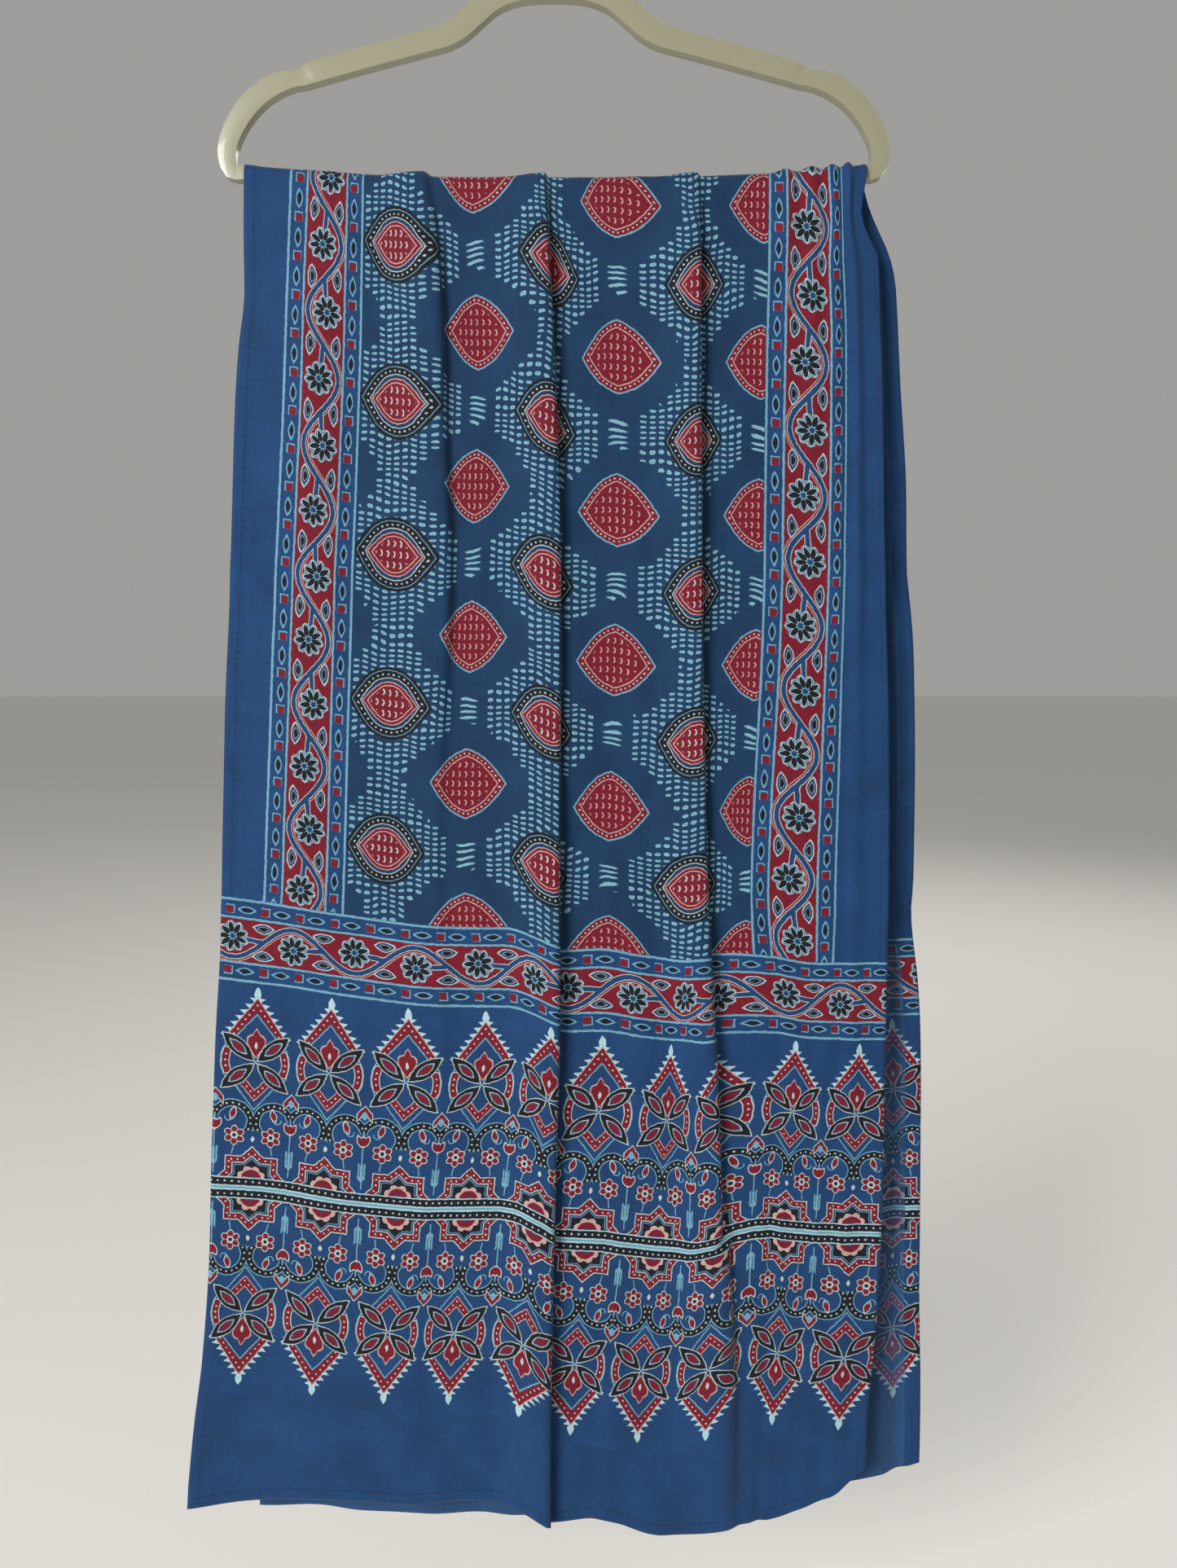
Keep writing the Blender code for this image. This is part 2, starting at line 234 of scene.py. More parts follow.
bpy.ops.mesh.primitive_uv_sphere_add(segments=24, ring_count=16, radius=WIRE_RADIUS, location=tip_place)
bpy.context.object.select_set(True)
hook.select_set(True)
bpy.context.view_layer.objects.active = hook
bpy.ops.object.join()
bpy.ops.object.shade_smooth()
PLATED = (0.62, 0.61, 0.58, 1.0)
hook.data.materials.clear()
hook.data.materials.append(plain_material("plated wire", PLATED, 0.22, metallic=1.0))


# Cloth
# A handwoven cotton stole, 0.53 by 1.94 m, block-printed on one side. It hangs doubled over the bar with that
# side out. Three pleats lean to the right down the front, and small gathers draw it in at the bar.
CLOTH_WIDTH = 0.53
REST_GAP = 0.0005
PACKED_SHEET = 0.0012
TURN_RADIUS = FRAME_DEPTH / 2 + 0.0022 + PACKED_SHEET / 2
LAYER_SPREAD = 0.0030
SPREAD_BY = 0.625
SHEET = 0.0009
SHEET_SHARE = 0.5
HEM_ROLL = 0.007

# Where the sheet's edges run, by the share of the way down from the bar to the hem.
FRONT_LEFT_EDGE = (
    (0.001, -0.2042), (0.053, -0.2056), (0.081, -0.2059), (0.118, -0.2107), (0.174, -0.2151),
    (0.276, -0.2202), (0.362, -0.2261), (0.451, -0.2304), (0.536, -0.2341), (0.634, -0.2416),
    (0.722, -0.2467), (0.801, -0.2508), (0.881, -0.2587), (0.922, -0.2647), (0.993, -0.2730),
)
FRONT_RIGHT_EDGE = (
    (0.001, 0.2065), (0.016, 0.2046), (0.030, 0.2028), (0.060, 0.2153), (0.118, 0.2183),
    (0.163, 0.2205), (0.276, 0.2243), (0.392, 0.2294), (0.511, 0.2323), (0.722, 0.2334),
    (0.765, 0.2338), (0.829, 0.2330), (0.881, 0.2313), (0.906, 0.2301), (0.958, 0.2265),
)
BACK_LEFT_EDGE = (
    (0.00, -0.2044), (0.03, -0.2050), (0.07, -0.2050), (0.15, -0.2060), (0.30, -0.2090),
    (0.45, -0.2120), (0.62, -0.2160), (0.80, -0.2205), (1.00, -0.2250),
)
BACK_RIGHT_EDGE = (
    (0.000, 0.2060), (0.005, 0.2161), (0.019, 0.2192), (0.049, 0.2282), (0.088, 0.2319), (0.145, 0.2361),
    (0.221, 0.2420), (0.274, 0.2439), (0.341, 0.2502), (0.427, 0.2536), (0.524, 0.2550), (0.543, 0.2540),
    (0.594, 0.2598), (0.624, 0.2624), (0.707, 0.2652), (0.866, 0.2683), (0.933, 0.2707), (0.971, 0.2717),
)

# Where lines of the print lie across the front at nine levels. The two pleats' own rows are their outlines.
MARK_LEVELS = (0, 0.053, 0.118, 0.276, 0.499, 0.603, 0.748, 0.901, 1)
Mark = namedtuple("Mark", "across places")
MARKS = (
    Mark(0.02900, (-0.1741, -0.1769, -0.1802, -0.1902, -0.2033, -0.2095, -0.2192, -0.2323, -0.2420)),
    Mark(0.08850, (-0.1251, -0.1266, -0.1288, -0.1367, -0.1467, -0.1511, -0.1604, -0.1713, -0.1792)),
    Mark(0.13500, (-0.0889, -0.0885, -0.0878, -0.0916, -0.1026, -0.1035, -0.1138, -0.1257, -0.1326)),
    Mark(0.14700, (-0.0785, -0.0749, -0.0731, -0.0779, -0.0911, -0.0907, -0.1020, -0.1147, -0.1215)),
    Mark(0.17825, (-0.0542, -0.0526, -0.0510, -0.0563, -0.0630, -0.0594, -0.0731, -0.0878, -0.0943)),
    Mark(0.21000, (-0.0223, -0.0231, -0.0246, -0.0299, -0.0313, -0.0285, -0.0422, -0.0576, -0.0632)),
    Mark("second", (-0.0049, -0.0024, 0.0006, 0.0045, 0.0034, 0.0032, -0.0006, -0.0039, -0.0048)),
    Mark(0.29975, (0.0400, 0.0412, 0.0425, 0.0417, 0.0366, 0.0379, 0.0277, 0.0153, 0.0116)),
    Mark(0.33150, (0.0736, 0.0739, 0.0743, 0.0731, 0.0671, 0.0694, 0.0585, 0.0443, 0.0409)),
    Mark("third", (0.0962, 0.0972, 0.0978, 0.0998, 0.1063, 0.1125, 0.1186, 0.1232, 0.1242)),
    Mark(0.42500, (0.1418, 0.1420, 0.1413, 0.1414, 0.1356, 0.1409, 0.1371, 0.1314, 0.1283)),
    Mark(0.48500, (0.1902, 0.1924, 0.1959, 0.1976, 0.1961, 0.1948, 0.1895, 0.1835, 0.1803)),
)

# The pleats, at eleven levels: the place across the flat cloth of the outline that they show, the length of
# cloth that turns under, and how far it turns, in radians.
PLEAT_LEVELS = (0, 0.06, 0.17, 0.28, 0.39, 0.50, 0.555, 0.62, 0.76, 0.92, 1)
Pleat = namedtuple("Pleat", "name rise outlines falls leans")
PLEATS = (
    Pleat(
        "first", 0.040,
        (0.137, 0.139, 0.143, 0.151, 0.152, 0.153, 0.154, 0.155, 0.156, 0.158, 0.160),
        (0.008, 0.013, 0.013, 0.013, 0.013, 0.013, 0.013, 0.013, 0.013, 0.013, 0.013),
        (0.70, 1.40, 1.20, 0.90, 0.45, 0.30, 0.26, 0.22, 0.14, 0.10, 0.08),
    ),
    Pleat(
        "second", 0.045,
        (0.234, 0.234, 0.2445, 0.250, 0.250, 0.250, 0.250, 0.250, 0.258, 0.267, 0.270),
        (0.006, 0.016, 0.014, 0.013, 0.013, 0.017, 0.019, 0.019, 0.017, 0.017, 0.016),
        (0.90, 2.20, 2.20, 2.30, 2.30, 2.50, 2.60, 2.60, 2.50, 2.50, 2.40),
    ),
    Pleat(
        "third", 0.042,
        (0.361, 0.361, 0.363, 0.3645, 0.370, 0.376, 0.383, 0.398, 0.405, 0.414, 0.418),
        (0.005, 0.015, 0.015, 0.016, 0.014, 0.013, 0.018, 0.017, 0.015, 0.016, 0.016),
        (0.90, 2.10, 2.10, 2.10, 2.00, 1.80, 2.30, 2.00, 1.60, 1.00, 0.50),
    ),
)
CREST_SHARPNESS = 1.4

# The other folds are soft: the place of the crest at the bar, half way down and at the hem, the lengths of
# cloth on its two sides, and how far it stands out at five levels. Negative goes in.
FOLD_LEVELS = (0.0, 0.12, 0.40, 0.72, 1.0)
PLACE_LEVELS = (0.0, 0.5, 1.0)
Fold = namedtuple("Fold", "crests rise fall heights")
FRONT_FOLDS = (
    Fold((0.055, 0.050, 0.042), 0.045, 0.040, (0.0008, 0.0030, 0.0024, -0.0020, -0.0030)),
    Fold((0.312, 0.318, 0.325), 0.014, 0.0200, (0.0004, 0.0006, 0.0012, 0.0012, 0.0020)),
    Fold((0.4387, 0.441, 0.448), 0.009, 0.0085, (0.0022, 0.0012, 0.0002, -0.0016, -0.0020)),
    Fold((0.4576, 0.460, 0.468), 0.009, 0.0085, (0.0024, 0.0014, 0.0004, 0.0002, 0.0002)),
    Fold((0.4746, 0.478, 0.486), 0.0085, 0.0100, (0.0025, 0.0018, 0.0008, 0.0006, 0.0006)),
    Fold((0.4950, 0.500, 0.508), 0.0100, 0.0110, (0.0028, 0.0034, 0.0018, 0.0014, 0.0018)),
)
BACK_LEVELS = (0.0, 0.12, 0.45, 1.0)
BACK_FOLDS = (
    Fold((0.055, 0.050, 0.042), 0.045, 0.040, (0.0008, 0.0014, 0.0030, 0.0030)),
    Fold((0.153, 0.173, 0.176), 0.045, 0.030, (0.0020, 0.0040, 0.0040, 0.0030)),
    Fold((0.256, 0.266, 0.278), 0.048, 0.030, (0.0030, 0.0040, 0.0050, 0.0060)),
    Fold((0.312, 0.318, 0.325), 0.028, 0.030, (0.0008, 0.0004, -0.0030, -0.0040)),
    Fold((0.385, 0.386, 0.422), 0.042, 0.028, (0.0030, 0.0010, -0.0050, -0.0030)),
    Fold((0.424, 0.436, 0.448), 0.020, 0.024, (0.0010, 0.0010, 0.0030, 0.0040)),
    Fold((0.502, 0.508, 0.512), 0.013, 0.011, (0.0030, 0.0030, 0.0030, 0.0030)),
)

# Four lines woven or printed straight across the cloth, by how far each hangs below the bar's ends.
FIELD_END = (
    (0.000, 0.4855), (0.0465, 0.4919), (0.083, 0.4976), (0.146, 0.5057), (0.177, 0.5075), (0.204, 0.5075),
    (0.229, 0.5122), (0.250, 0.5195), (0.268, 0.5240), (0.293, 0.5228), (0.323, 0.5272), (0.349, 0.5299),
    (0.375, 0.5272), (0.412, 0.5264), (0.438, 0.5283), (0.469, 0.5330), (0.530, 0.5330),
)
STRIPE = (
    (0.000, 0.6963), (0.051, 0.7017), (0.1045, 0.7096), (0.160, 0.7138), (0.222, 0.7138), (0.246, 0.7200),
    (0.256, 0.7260), (0.274, 0.7364), (0.3055, 0.7382), (0.3255, 0.7406), (0.348, 0.7431), (0.378, 0.7440),
    (0.396, 0.7388), (0.417, 0.7321), (0.434, 0.7284), (0.461, 0.7297), (0.503, 0.7321), (0.530, 0.7327),
)
HEM = (
    (0.000, 0.9450), (0.080, 0.9370), (0.160, 0.9405), (0.225, 0.9375), (0.250, 0.9425), (0.278, 0.9550),
    (0.318, 0.9520), (0.372, 0.9655), (0.418, 0.9590), (0.451, 0.9540), (0.503, 0.9355), (0.530, 0.9120),
)
BACK_HEM = (
    (0.000, 0.9560), (0.080, 0.9600), (0.160, 0.9640), (0.225, 0.9640), (0.250, 0.9630), (0.278, 0.9600),
    (0.318, 0.9560), (0.372, 0.9500), (0.418, 0.9450), (0.451, 0.9410), (0.503, 0.9310), (0.530, 0.9220),
)
FIELD_LENGTH = 1.070
PANEL_HALF = 0.156
PANEL_UPPER = 0.1515
BORDER_WIDTH = 0.0600
BACK_FIELD_TO_STRIPE = 0.2019
OVER_BAR_STEPS = 8
HEM_ROWS = (0.0, 0.0025, 0.0060, 0.0085)
PLAIN_ROWS = 9
PANEL_ROWS = 16
BORDER_ROWS = 6
FIELD_ROWS = 51
BACK_ROW_SHARE = 0.85

# The grid's columns stand closer where the pleats turn.
COLUMN_STOPS = (
    (0.0000, 3), (0.0070, 1), (0.0085, 6), (0.0290, 18), (0.0885, 12), (0.1280, 20), (0.1600, 20),
    (0.2280, 36), (0.2900, 19), (0.3550, 42), (0.4250, 20), (0.4850, 11), (0.5215, 1), (0.5230, 3), (0.5300, 0),
)
SURFACE_LEVELS = 61
SAMPLES_ACROSS = 1061


def smooth_through(knots, at, values):
    """A smooth curve through the values at the knots, which never overshoots them (monotone cubic)."""
    knots = np.asarray(knots, float)
    values = np.asarray(values, float)
    slope = np.diff(values) / np.diff(knots)
    tangent = np.zeros(len(values))
    same_way = slope[1:] * slope[:-1] > 0
    tangent[1:-1][same_way] = 2 * (slope[1:] * slope[:-1])[same_way] / (slope[1:] + slope[:-1])[same_way]
    tangent[0], tangent[-1] = slope[0], slope[-1]
    at = np.clip(at, knots[0], knots[-1])
    left = np.clip(np.searchsorted(knots, at, side="right") - 1, 0, len(knots) - 2)
    span = knots[left + 1] - knots[left]
    t = (at - knots[left]) / span
    return (
        (2 * t**3 - 3 * t**2 + 1) * values[left]
        + (t**3 - 2 * t**2 + t) * span * tangent[left]
        + (3 * t**2 - 2 * t**3) * values[left + 1]
        + (t**3 - t**2) * span * tangent[left + 1]
    )


def through(points, at):
    """A smooth curve through (knot, value) pairs."""
    knots, values = zip(*points)
    return smooth_through(knots, at, values)


shares = np.linspace(0, 1, 181)
rise_turns = np.linspace(0, 2.4, 60)
rise_heights = [np.sin(turn * np.sin(math.pi * shares)).mean() for turn in rise_turns]
fine = np.linspace(0, CLOTH_WIDTH, SAMPLES_ACROSS)


def soft_turn(height, flank):
    """How far a soft flank turns to rise this high."""
    return math.copysign(np.interp(abs(height) / flank, rise_heights, rise_turns), height)


def section(down, folds, levels, pleats=()):
    """Across the sheet at one level: where each fine sample lies along X and how far it stands out."""
    direction = np.zeros_like(fine)
    for fold in folds:
        crest = smooth_through(PLACE_LEVELS, down, fold.crests)
        height = smooth_through(levels, down, fold.heights)
        for flank, side in ((fold.rise, -1), (fold.fall, 1)):
            share = np.clip(side * (fine - crest) / flank, 0, 1)
            direction -= side * soft_turn(height, flank) * np.sin(math.pi * share)
    outlines = {}
    for pleat in pleats:
        outline = smooth_through(PLEAT_LEVELS, down, pleat.outlines)
        fall = smooth_through(PLEAT_LEVELS, down, pleat.falls)
        lean = smooth_through(PLEAT_LEVELS, down, pleat.leans)
        turn_under = lean * np.sin(math.pi * shares**CREST_SHARPNESS)
        upright = shares[np.argmax(turn_under > math.pi / 2)] if lean > math.pi / 2 else 0
        crest = outline - upright * fall
        height = fall * np.sin(turn_under).mean()
        share = np.clip((fine - crest) / fall, 0, 1)
        direction -= lean * np.sin(math.pi * share**CREST_SHARPNESS)
        share = np.clip((crest - fine) / pleat.rise, 0, 1)
        direction += soft_turn(height, pleat.rise) * np.sin(math.pi * share)
        outlines[pleat.name] = outline
    step = fine[1] - fine[0]
    middle = (direction[1:] + direction[:-1]) / 2
    x = np.concatenate([[0], np.cumsum(np.cos(middle)) * step])
    out = np.concatenate([[0], np.cumsum(np.sin(middle)) * step])
    return x, out - out[-1] * fine / CLOTH_WIDTH, outlines


def front_section(down):
    """The front layer at one level, drawn sideways so that its marks lie where the photo shows them."""
    x, out, outlines = section(down, FRONT_FOLDS, FOLD_LEVELS, PLEATS)
    knots = [0.0]
    places = [through(FRONT_LEFT_EDGE, down)]
    for mark in MARKS:
        here = fine <= outlines.get(mark.across, mark.across) + (0.003 if mark.across in outlines else 0)
        knots.append(x[here].max() if mark.across in outlines else x[here][-1])
        places.append(smooth_through(MARK_LEVELS, down, mark.places))
    knots.append(x[-1])
    places.append(through(FRONT_RIGHT_EDGE, down))
    return smooth_through(knots, x, places), out


def back_section(down):
    """The back layer at one level."""
    x, out, _ = section(down, BACK_FOLDS, BACK_LEVELS)
    left = through(BACK_LEFT_EDGE, down)
    right = through(BACK_RIGHT_EDGE, down)
    return left + (right - left) * x / x[-1], out


columns = []
for (start, steps), (stop, _) in zip(COLUMN_STOPS, COLUMN_STOPS[1:]):
    columns += list(start + (stop - start) * np.arange(steps) / steps)
columns = np.array(columns + [CLOTH_WIDTH])
levels = np.linspace(0, 1, SURFACE_LEVELS) ** 1.15
front_x, front_out = np.array([
    [np.interp(columns, fine, line) for line in front_section(level)] for level in levels
]).transpose(1, 0, 2)
front_out[0] -= front_out[0].min()
back_x, back_out = np.array([
    [np.interp(columns, fine, line) for line in back_section(level)] for level in levels
]).transpose(1, 0, 2)
near_bar = np.clip(1 - levels / 0.07, 0, 1)[:, None] ** 1.5
back_x += (front_x[0] - back_x) * near_bar
back_out += (front_out[0] - back_out) * near_bar

# Shallow waves, and two creases from being stored folded, by how far each hangs below the bar's ends.
WAVE_HEIGHT = 0.0006
STORAGE_CREASES = (0.262, 0.500)
CREASE_DEPTH = 0.0013
CREASE_REACH = 0.013
turn_centre = bar_top(front_x[0]) + REST_GAP + PACKED_SHEET / 2 - TURN_RADIUS


def creases(drop):
    """How far the shallow waves and the storage creases stand out along one row."""
    waves = np.sin(83 * columns + 17 * drop) * np.sin(41 * drop - 23 * columns + 1.3)
    folded = sum(np.exp(-(((drop - level) / CREASE_REACH) ** 2)) for level in STORAGE_CREASES)
    return (WAVE_HEIGHT * waves + CREASE_DEPTH * folded) * np.clip(drop / 0.08, 0, 1)


def hanging_row(drop, hem, layer_x, layer_out, side):
    """Points of one row, where each column hangs this far below the bar's ends."""
    down = np.clip((drop + turn_centre) / (hem + turn_centre), 0, 1)
    place = np.interp(down, levels, np.arange(len(levels)))
    lower = np.minimum(place.astype(int), len(levels) - 2)
    share = place - lower
    every = np.arange(len(columns))
    x = layer_x[lower, every] * (1 - share) + layer_x[lower + 1, every] * share
    out = layer_out[lower, every] * (1 - share) + layer_out[lower + 1, every] * share
    spread = TURN_RADIUS + LAYER_SPREAD * np.sin(math.pi / 2 * np.minimum(1, down / SPREAD_BY))
    return np.column_stack([x, side * (spread + out + creases(drop)), BAR_LEVEL - drop])


# Rows, from the front hem up over the bar and down to the back hem. Each zone of the print has its own rows
# and its own measure along the cloth, in metres, which is held for each of its faces' two edges.
field_end = through(FIELD_END, columns)
stripe = through(STRIPE, columns)
hem = through(HEM, columns)
back_hem = through(BACK_HEM, columns)
over_bar = math.pi * TURN_RADIUS
to_bar = field_end + turn_centre
back_field_end = FIELD_LENGTH - over_bar - to_bar - turn_centre
back_stripe = back_field_end + BACK_FIELD_TO_STRIPE
lines = []
zones = []


def add_rows(zone, shares, measure, first_drop, last_drop, layer):
    """Rows at these shares of the way from one drop to another, and the measure along the cloth at each."""
    for n, share in enumerate(shares):
        drop = first_drop + (last_drop - first_drop) * share
        if n or not lines:
            lines.append(hanging_row(drop, *layer))
        if n:
            zones.append((zone, measure[0] + (measure[1] - measure[0]) * shares[n - 1],
                          measure[0] + (measure[1] - measure[0]) * share))


front_layer = (hem, front_x, front_out, -1)
back_layer = (back_hem, back_x, back_out, 1)


def even(count):
    return np.arange(count + 1) / count


def plain_shares(length):
    """Shares of the plain end's length, closer together at the hem."""
    longest = length.max()
    start = np.array(HEM_ROWS) / longest
    return np.concatenate([start, start[-1] + (1 - start[-1]) * even(PLAIN_ROWS)[1:]])


front_border_end = stripe - (stripe - field_end) * PANEL_UPPER / (PANEL_UPPER + BORDER_WIDTH)
back_border_end = back_stripe - (back_stripe - back_field_end) * PANEL_UPPER / (PANEL_UPPER + BORDER_WIDTH)
plain = hem - stripe - PANEL_HALF
back_plain = back_hem - back_stripe - PANEL_HALF
add_rows("plain", plain_shares(plain), (np.zeros_like(plain), plain), hem, stripe + PANEL_HALF, front_layer)
add_rows("panel", even(PANEL_ROWS), (-PANEL_HALF, 0), stripe + PANEL_HALF, stripe, front_layer)
add_rows("panel", even(PANEL_ROWS), (0, PANEL_UPPER), stripe, front_border_end, front_layer)
add_rows("border", even(BORDER_ROWS), (-BORDER_WIDTH, 0), front_border_end, field_end, front_layer)
field_shares = 1 - (1 - even(FIELD_ROWS)) ** 1.08
add_rows("field", field_shares, (0, to_bar), field_end, -turn_centre, front_layer)
reach = TURN_RADIUS + front_out[0]
for step in range(1, OVER_BAR_STEPS + 1):
    angle = math.pi * step / OVER_BAR_STEPS
    height = BAR_LEVEL + turn_centre + reach * math.sin(angle)
    lines.append(np.column_stack([front_x[0], -reach * math.cos(angle), height]))
    zones.append(("field", to_bar + over_bar * (step - 1) / OVER_BAR_STEPS, to_bar + over_bar * step / OVER_BAR_STEPS))
add_rows("field", 1 - field_shares[::-1], (to_bar + over_bar, FIELD_LENGTH), -turn_centre, back_field_end, back_layer)
add_rows("border", even(BORDER_ROWS), (0, -BORDER_WIDTH), back_field_end, back_border_end, back_layer)
add_rows("panel", even(PANEL_ROWS), (PANEL_UPPER, 0), back_border_end, back_stripe, back_layer)
add_rows("panel", even(PANEL_ROWS), (0, -PANEL_HALF), back_stripe, back_stripe + PANEL_HALF, back_layer)
add_rows("plain", 1 - plain_shares(back_plain)[::-1], (back_plain, np.zeros_like(plain)),
         back_stripe + PANEL_HALF, back_hem, back_layer)
points = np.array(lines)
row_count, column_count = points.shape[:2]
start_fresh()
bpy.ops.mesh.primitive_grid_add(x_subdivisions=column_count - 1, y_subdivisions=row_count - 1, size=2)
cloth = bpy.context.object
cloth.name = "ajrakh_stole"
places = np.empty(len(cloth.data.vertices) * 3)
cloth.data.vertices.foreach_get("co", places)
places = places.reshape(-1, 3)
column_of = np.rint((places[:, 0] + 1) / 2 * (column_count - 1)).astype(int)
row_of = np.rint((places[:, 1] + 1) / 2 * (row_count - 1)).astype(int)
cloth.data.vertices.foreach_set("co", points[row_of, column_of].ravel())

# Each face gets its zone's material, and each of its corners the zone's own flat measures in metres.
SIDE_BORDER_STARTS = (0.0290, 0.4250)
SIDE_BORDER_WIDTHS = (0.0595, 0.0600)
corner_of = np.empty(len(cloth.data.loops), int)
cloth.data.loops.foreach_get("vertex_index", corner_of)
corner_row = row_of[corner_of].reshape(-1, 4)
corner_column = column_of[corner_of].reshape(-1, 4)
face_row = corner_row.min(1)
face_across = (columns[corner_column.min(1)] + columns[corner_column.max(1)]) / 2
start_measures = np.array([np.broadcast_to(zone[1], column_count) for zone in zones])
end_measures = np.array([np.broadcast_to(zone[2], column_count) for zone in zones])
upper = corner_row > face_row[:, None]
along = np.where(upper, end_measures[face_row[:, None], corner_column], start_measures[face_row[:, None], corner_column])
across = columns[corner_column]
zone_names = np.array([zone[0] for zone in zones])
face_zone = zone_names[face_row]
in_field = face_zone == "field"
for start, width in zip(SIDE_BORDER_STARTS, SIDE_BORDER_WIDTHS):
    face_zone[in_field & (face_across > start) & (face_across < start + width)] = "side"
face_zone[in_field & ((face_across < 0.0290) | (face_across > 0.4850))] = "margin"


class Wire:
    """A socket in the material being built. Arithmetic on it adds Math nodes, and gives their outputs."""

    tree = None

    def __init__(self, socket):
        self.socket = socket

    @classmethod
    def node(cls, kind, settings, values, output=0):
        """Adds a node with these settings and socket values, and gives one of its outputs."""
        node = cls.tree.nodes.new("ShaderNode" + kind)
        for name, setting in settings.items():
            setattr(node, name, setting)
        for place, value in values.items():
            if isinstance(value, Wire):
                cls.tree.links.new(value.socket, node.inputs[place])
            else:
                node.inputs[place].default_value = value
        return cls(node.outputs[output])

    @classmethod
    def maths(cls, operation, *values, clamp=False):
        return cls.node("Math", {"operation": operation, "use_clamp": clamp}, dict(enumerate(values)))

    def __add__(self, other):
        return self.maths("ADD", self, other)

    __radd__ = __add__

    def __sub__(self, other):
        return self.maths("SUBTRACT", self, other)

    def __rsub__(self, other):
        return self.maths("SUBTRACT", other, self)

    def __mul__(self, other):
        return self.maths("MULTIPLY", self, other)

    __rmul__ = __mul__

    def __truediv__(self, other):
        return self.maths("DIVIDE", self, other)

    def __pow__(self, other):
        return self.maths("POWER", self, other)

    def __abs__(self):
        return self.maths("ABSOLUTE", self)

    def __and__(self, other):
        return self.maths("MINIMUM", self, other)

    def __or__(self, other):
        return self.maths("MAXIMUM", self, other)

    def __invert__(self):
        return self.maths("SUBTRACT", 1.0, self)


def dye(red, green, blue):
    """A colour, seen by eye, as the linear values that a shader takes."""
    return tuple(((part / 255 + 0.055) / 1.055) ** 2.4 for part in (red, green, blue)) + (1.0,)


# The field's ground is darker than the other indigo partly in its dye and partly as painted shade, standing in for the
# dimmer light on the upper cloth.
FIELD_INDIGO_AND_SHADE = dye(15, 48, 80)
INDIGO = dye(19, 56, 98)
SOAKED_INDIGO = dye(44, 76, 114)
PALE_BLUE = dye(100, 146, 165)
CHALK = dye(168, 180, 178)
PINKISH = dye(176, 146, 142)
MADDER = dye(106, 14, 32)
BLACK = dye(14, 17, 26)
THREAD = dye(12, 34, 62)


def repeat(value, start, pitch):
    """The distance to the nearest of these evenly spaced places."""
    return Wire.maths("PINGPONG", value - start, pitch / 2)


def around(value, start, pitch):
    """The signed distance from the nearest of these evenly spaced places."""
    return Wire.maths("WRAP", value - start, pitch / 2, -pitch / 2)


def length(x, y):
    return Wire.maths("SQRT", Wire.maths("MULTIPLY_ADD", x, x, y * y))


def below(value, edge, blur=0.35):
    """A mask with a slightly soft edge: one where the value is under the edge."""
    if isinstance(edge, Wire):
        return Wire.maths("MULTIPLY_ADD", edge - value, 1 / blur, 0.5, clamp=True)
    return Wire.maths("MULTIPLY_ADD", value, -1 / blur, edge / blur + 0.5, clamp=True)


def band(value, middle, half, blur=0.35):
    return below(abs(value - middle), half, blur)


def paint(ground, colour, mask):
    """The colour printed over the ground where the mask is one."""
    return Wire.node("Mix", {"data_type": "RGBA", "clamp_factor": True}, {0: mask, 6: ground, 7: colour}, output=2)


def ellipse(x, y, half_x, half_y):
    return length(x / half_x, y / half_y)


def rings(ground, size, steps, blur):
    """Paints nested shapes from the outermost in: each step is the size where a colour starts."""
    for edge, colour in steps:
        ground = paint(ground, colour, below(size, edge, blur))
    return ground


def print_place():
    return Wire.node("UVMap", {"uv_map": "print"}, {})


def printed_at():
    """The flat place in millimetres, with the small waver of a hand-held block and of threads taking the dye."""
    place = print_place()
    waver = Wire.node("TexNoise", {"noise_dimensions": "2D"}, {"Vector": place, "Scale": 0.3, "Detail": 1.5}, output=1)
    waver = Wire.node("VectorMath", {"operation": "SUBTRACT"}, {0: waver, 1: (0.5, 0.5, 0.5)})
    place = Wire.node("VectorMath", {"operation": "MULTIPLY_ADD"}, {0: waver, 1: (1.0, 1.0, 0), 2: place})
    split = Wire.node("SeparateXYZ", {}, {0: place})
    return split, Wire(split.socket.node.outputs[1])


def mottled(colour):
    """The ground dye, which took a little unevenly in clouds."""
    clouds = Wire.node("TexNoise", {"noise_dimensions": "2D"}, {"Vector": print_place(), "Scale": 0.03, "Detail": 3.0})
    return Wire.node("Mix", {"data_type": "RGBA"}, {0: clouds, 6: tuple(part * 0.72 for part in colour[:3]) + (1.0,),
                     7: tuple(part * 1.28 for part in colour[:3]) + (1.0,)}, output=2)


def crescents(x, y, pitch_x, pitch_y, half_x=1.25, half_y=2.0):
    """A mask of rows of small crescents, open to the left."""
    x = around(x, 0, pitch_x)
    y = around(y, 0, pitch_y)
    moon = below(ellipse(x, y, half_x, half_y), 1, 0.3)
    shade = below(ellipse(x + 0.9, y, half_x, half_y * 0.8), 1, 0.3)
    return moon & ~shade


def ring_dots(size, angle, middle, scale, count, radius):
    """A mask of dots in a ring: a count of dots each quarter, at this size of the nested shape."""
    along = (Wire.maths("FRACT", angle * (count / (math.pi / 2))) - 0.5) * (scale * middle * 1.45 / count)
    return below(length((size - middle) * scale, along), radius, 0.45)


def pointed(x, y, radius, tip, reach):
    """Nested rounds drawn out to a point left and right, for places to the right of the middle and above it."""
    near_tip = Wire.maths("MAXIMUM", 1.0 - Wire.maths("ARCTAN2", y, x) / reach, 0.0)
    return length(x, y) * (1.0 - near_tip * near_tip * (1.0 - radius / tip)) / radius


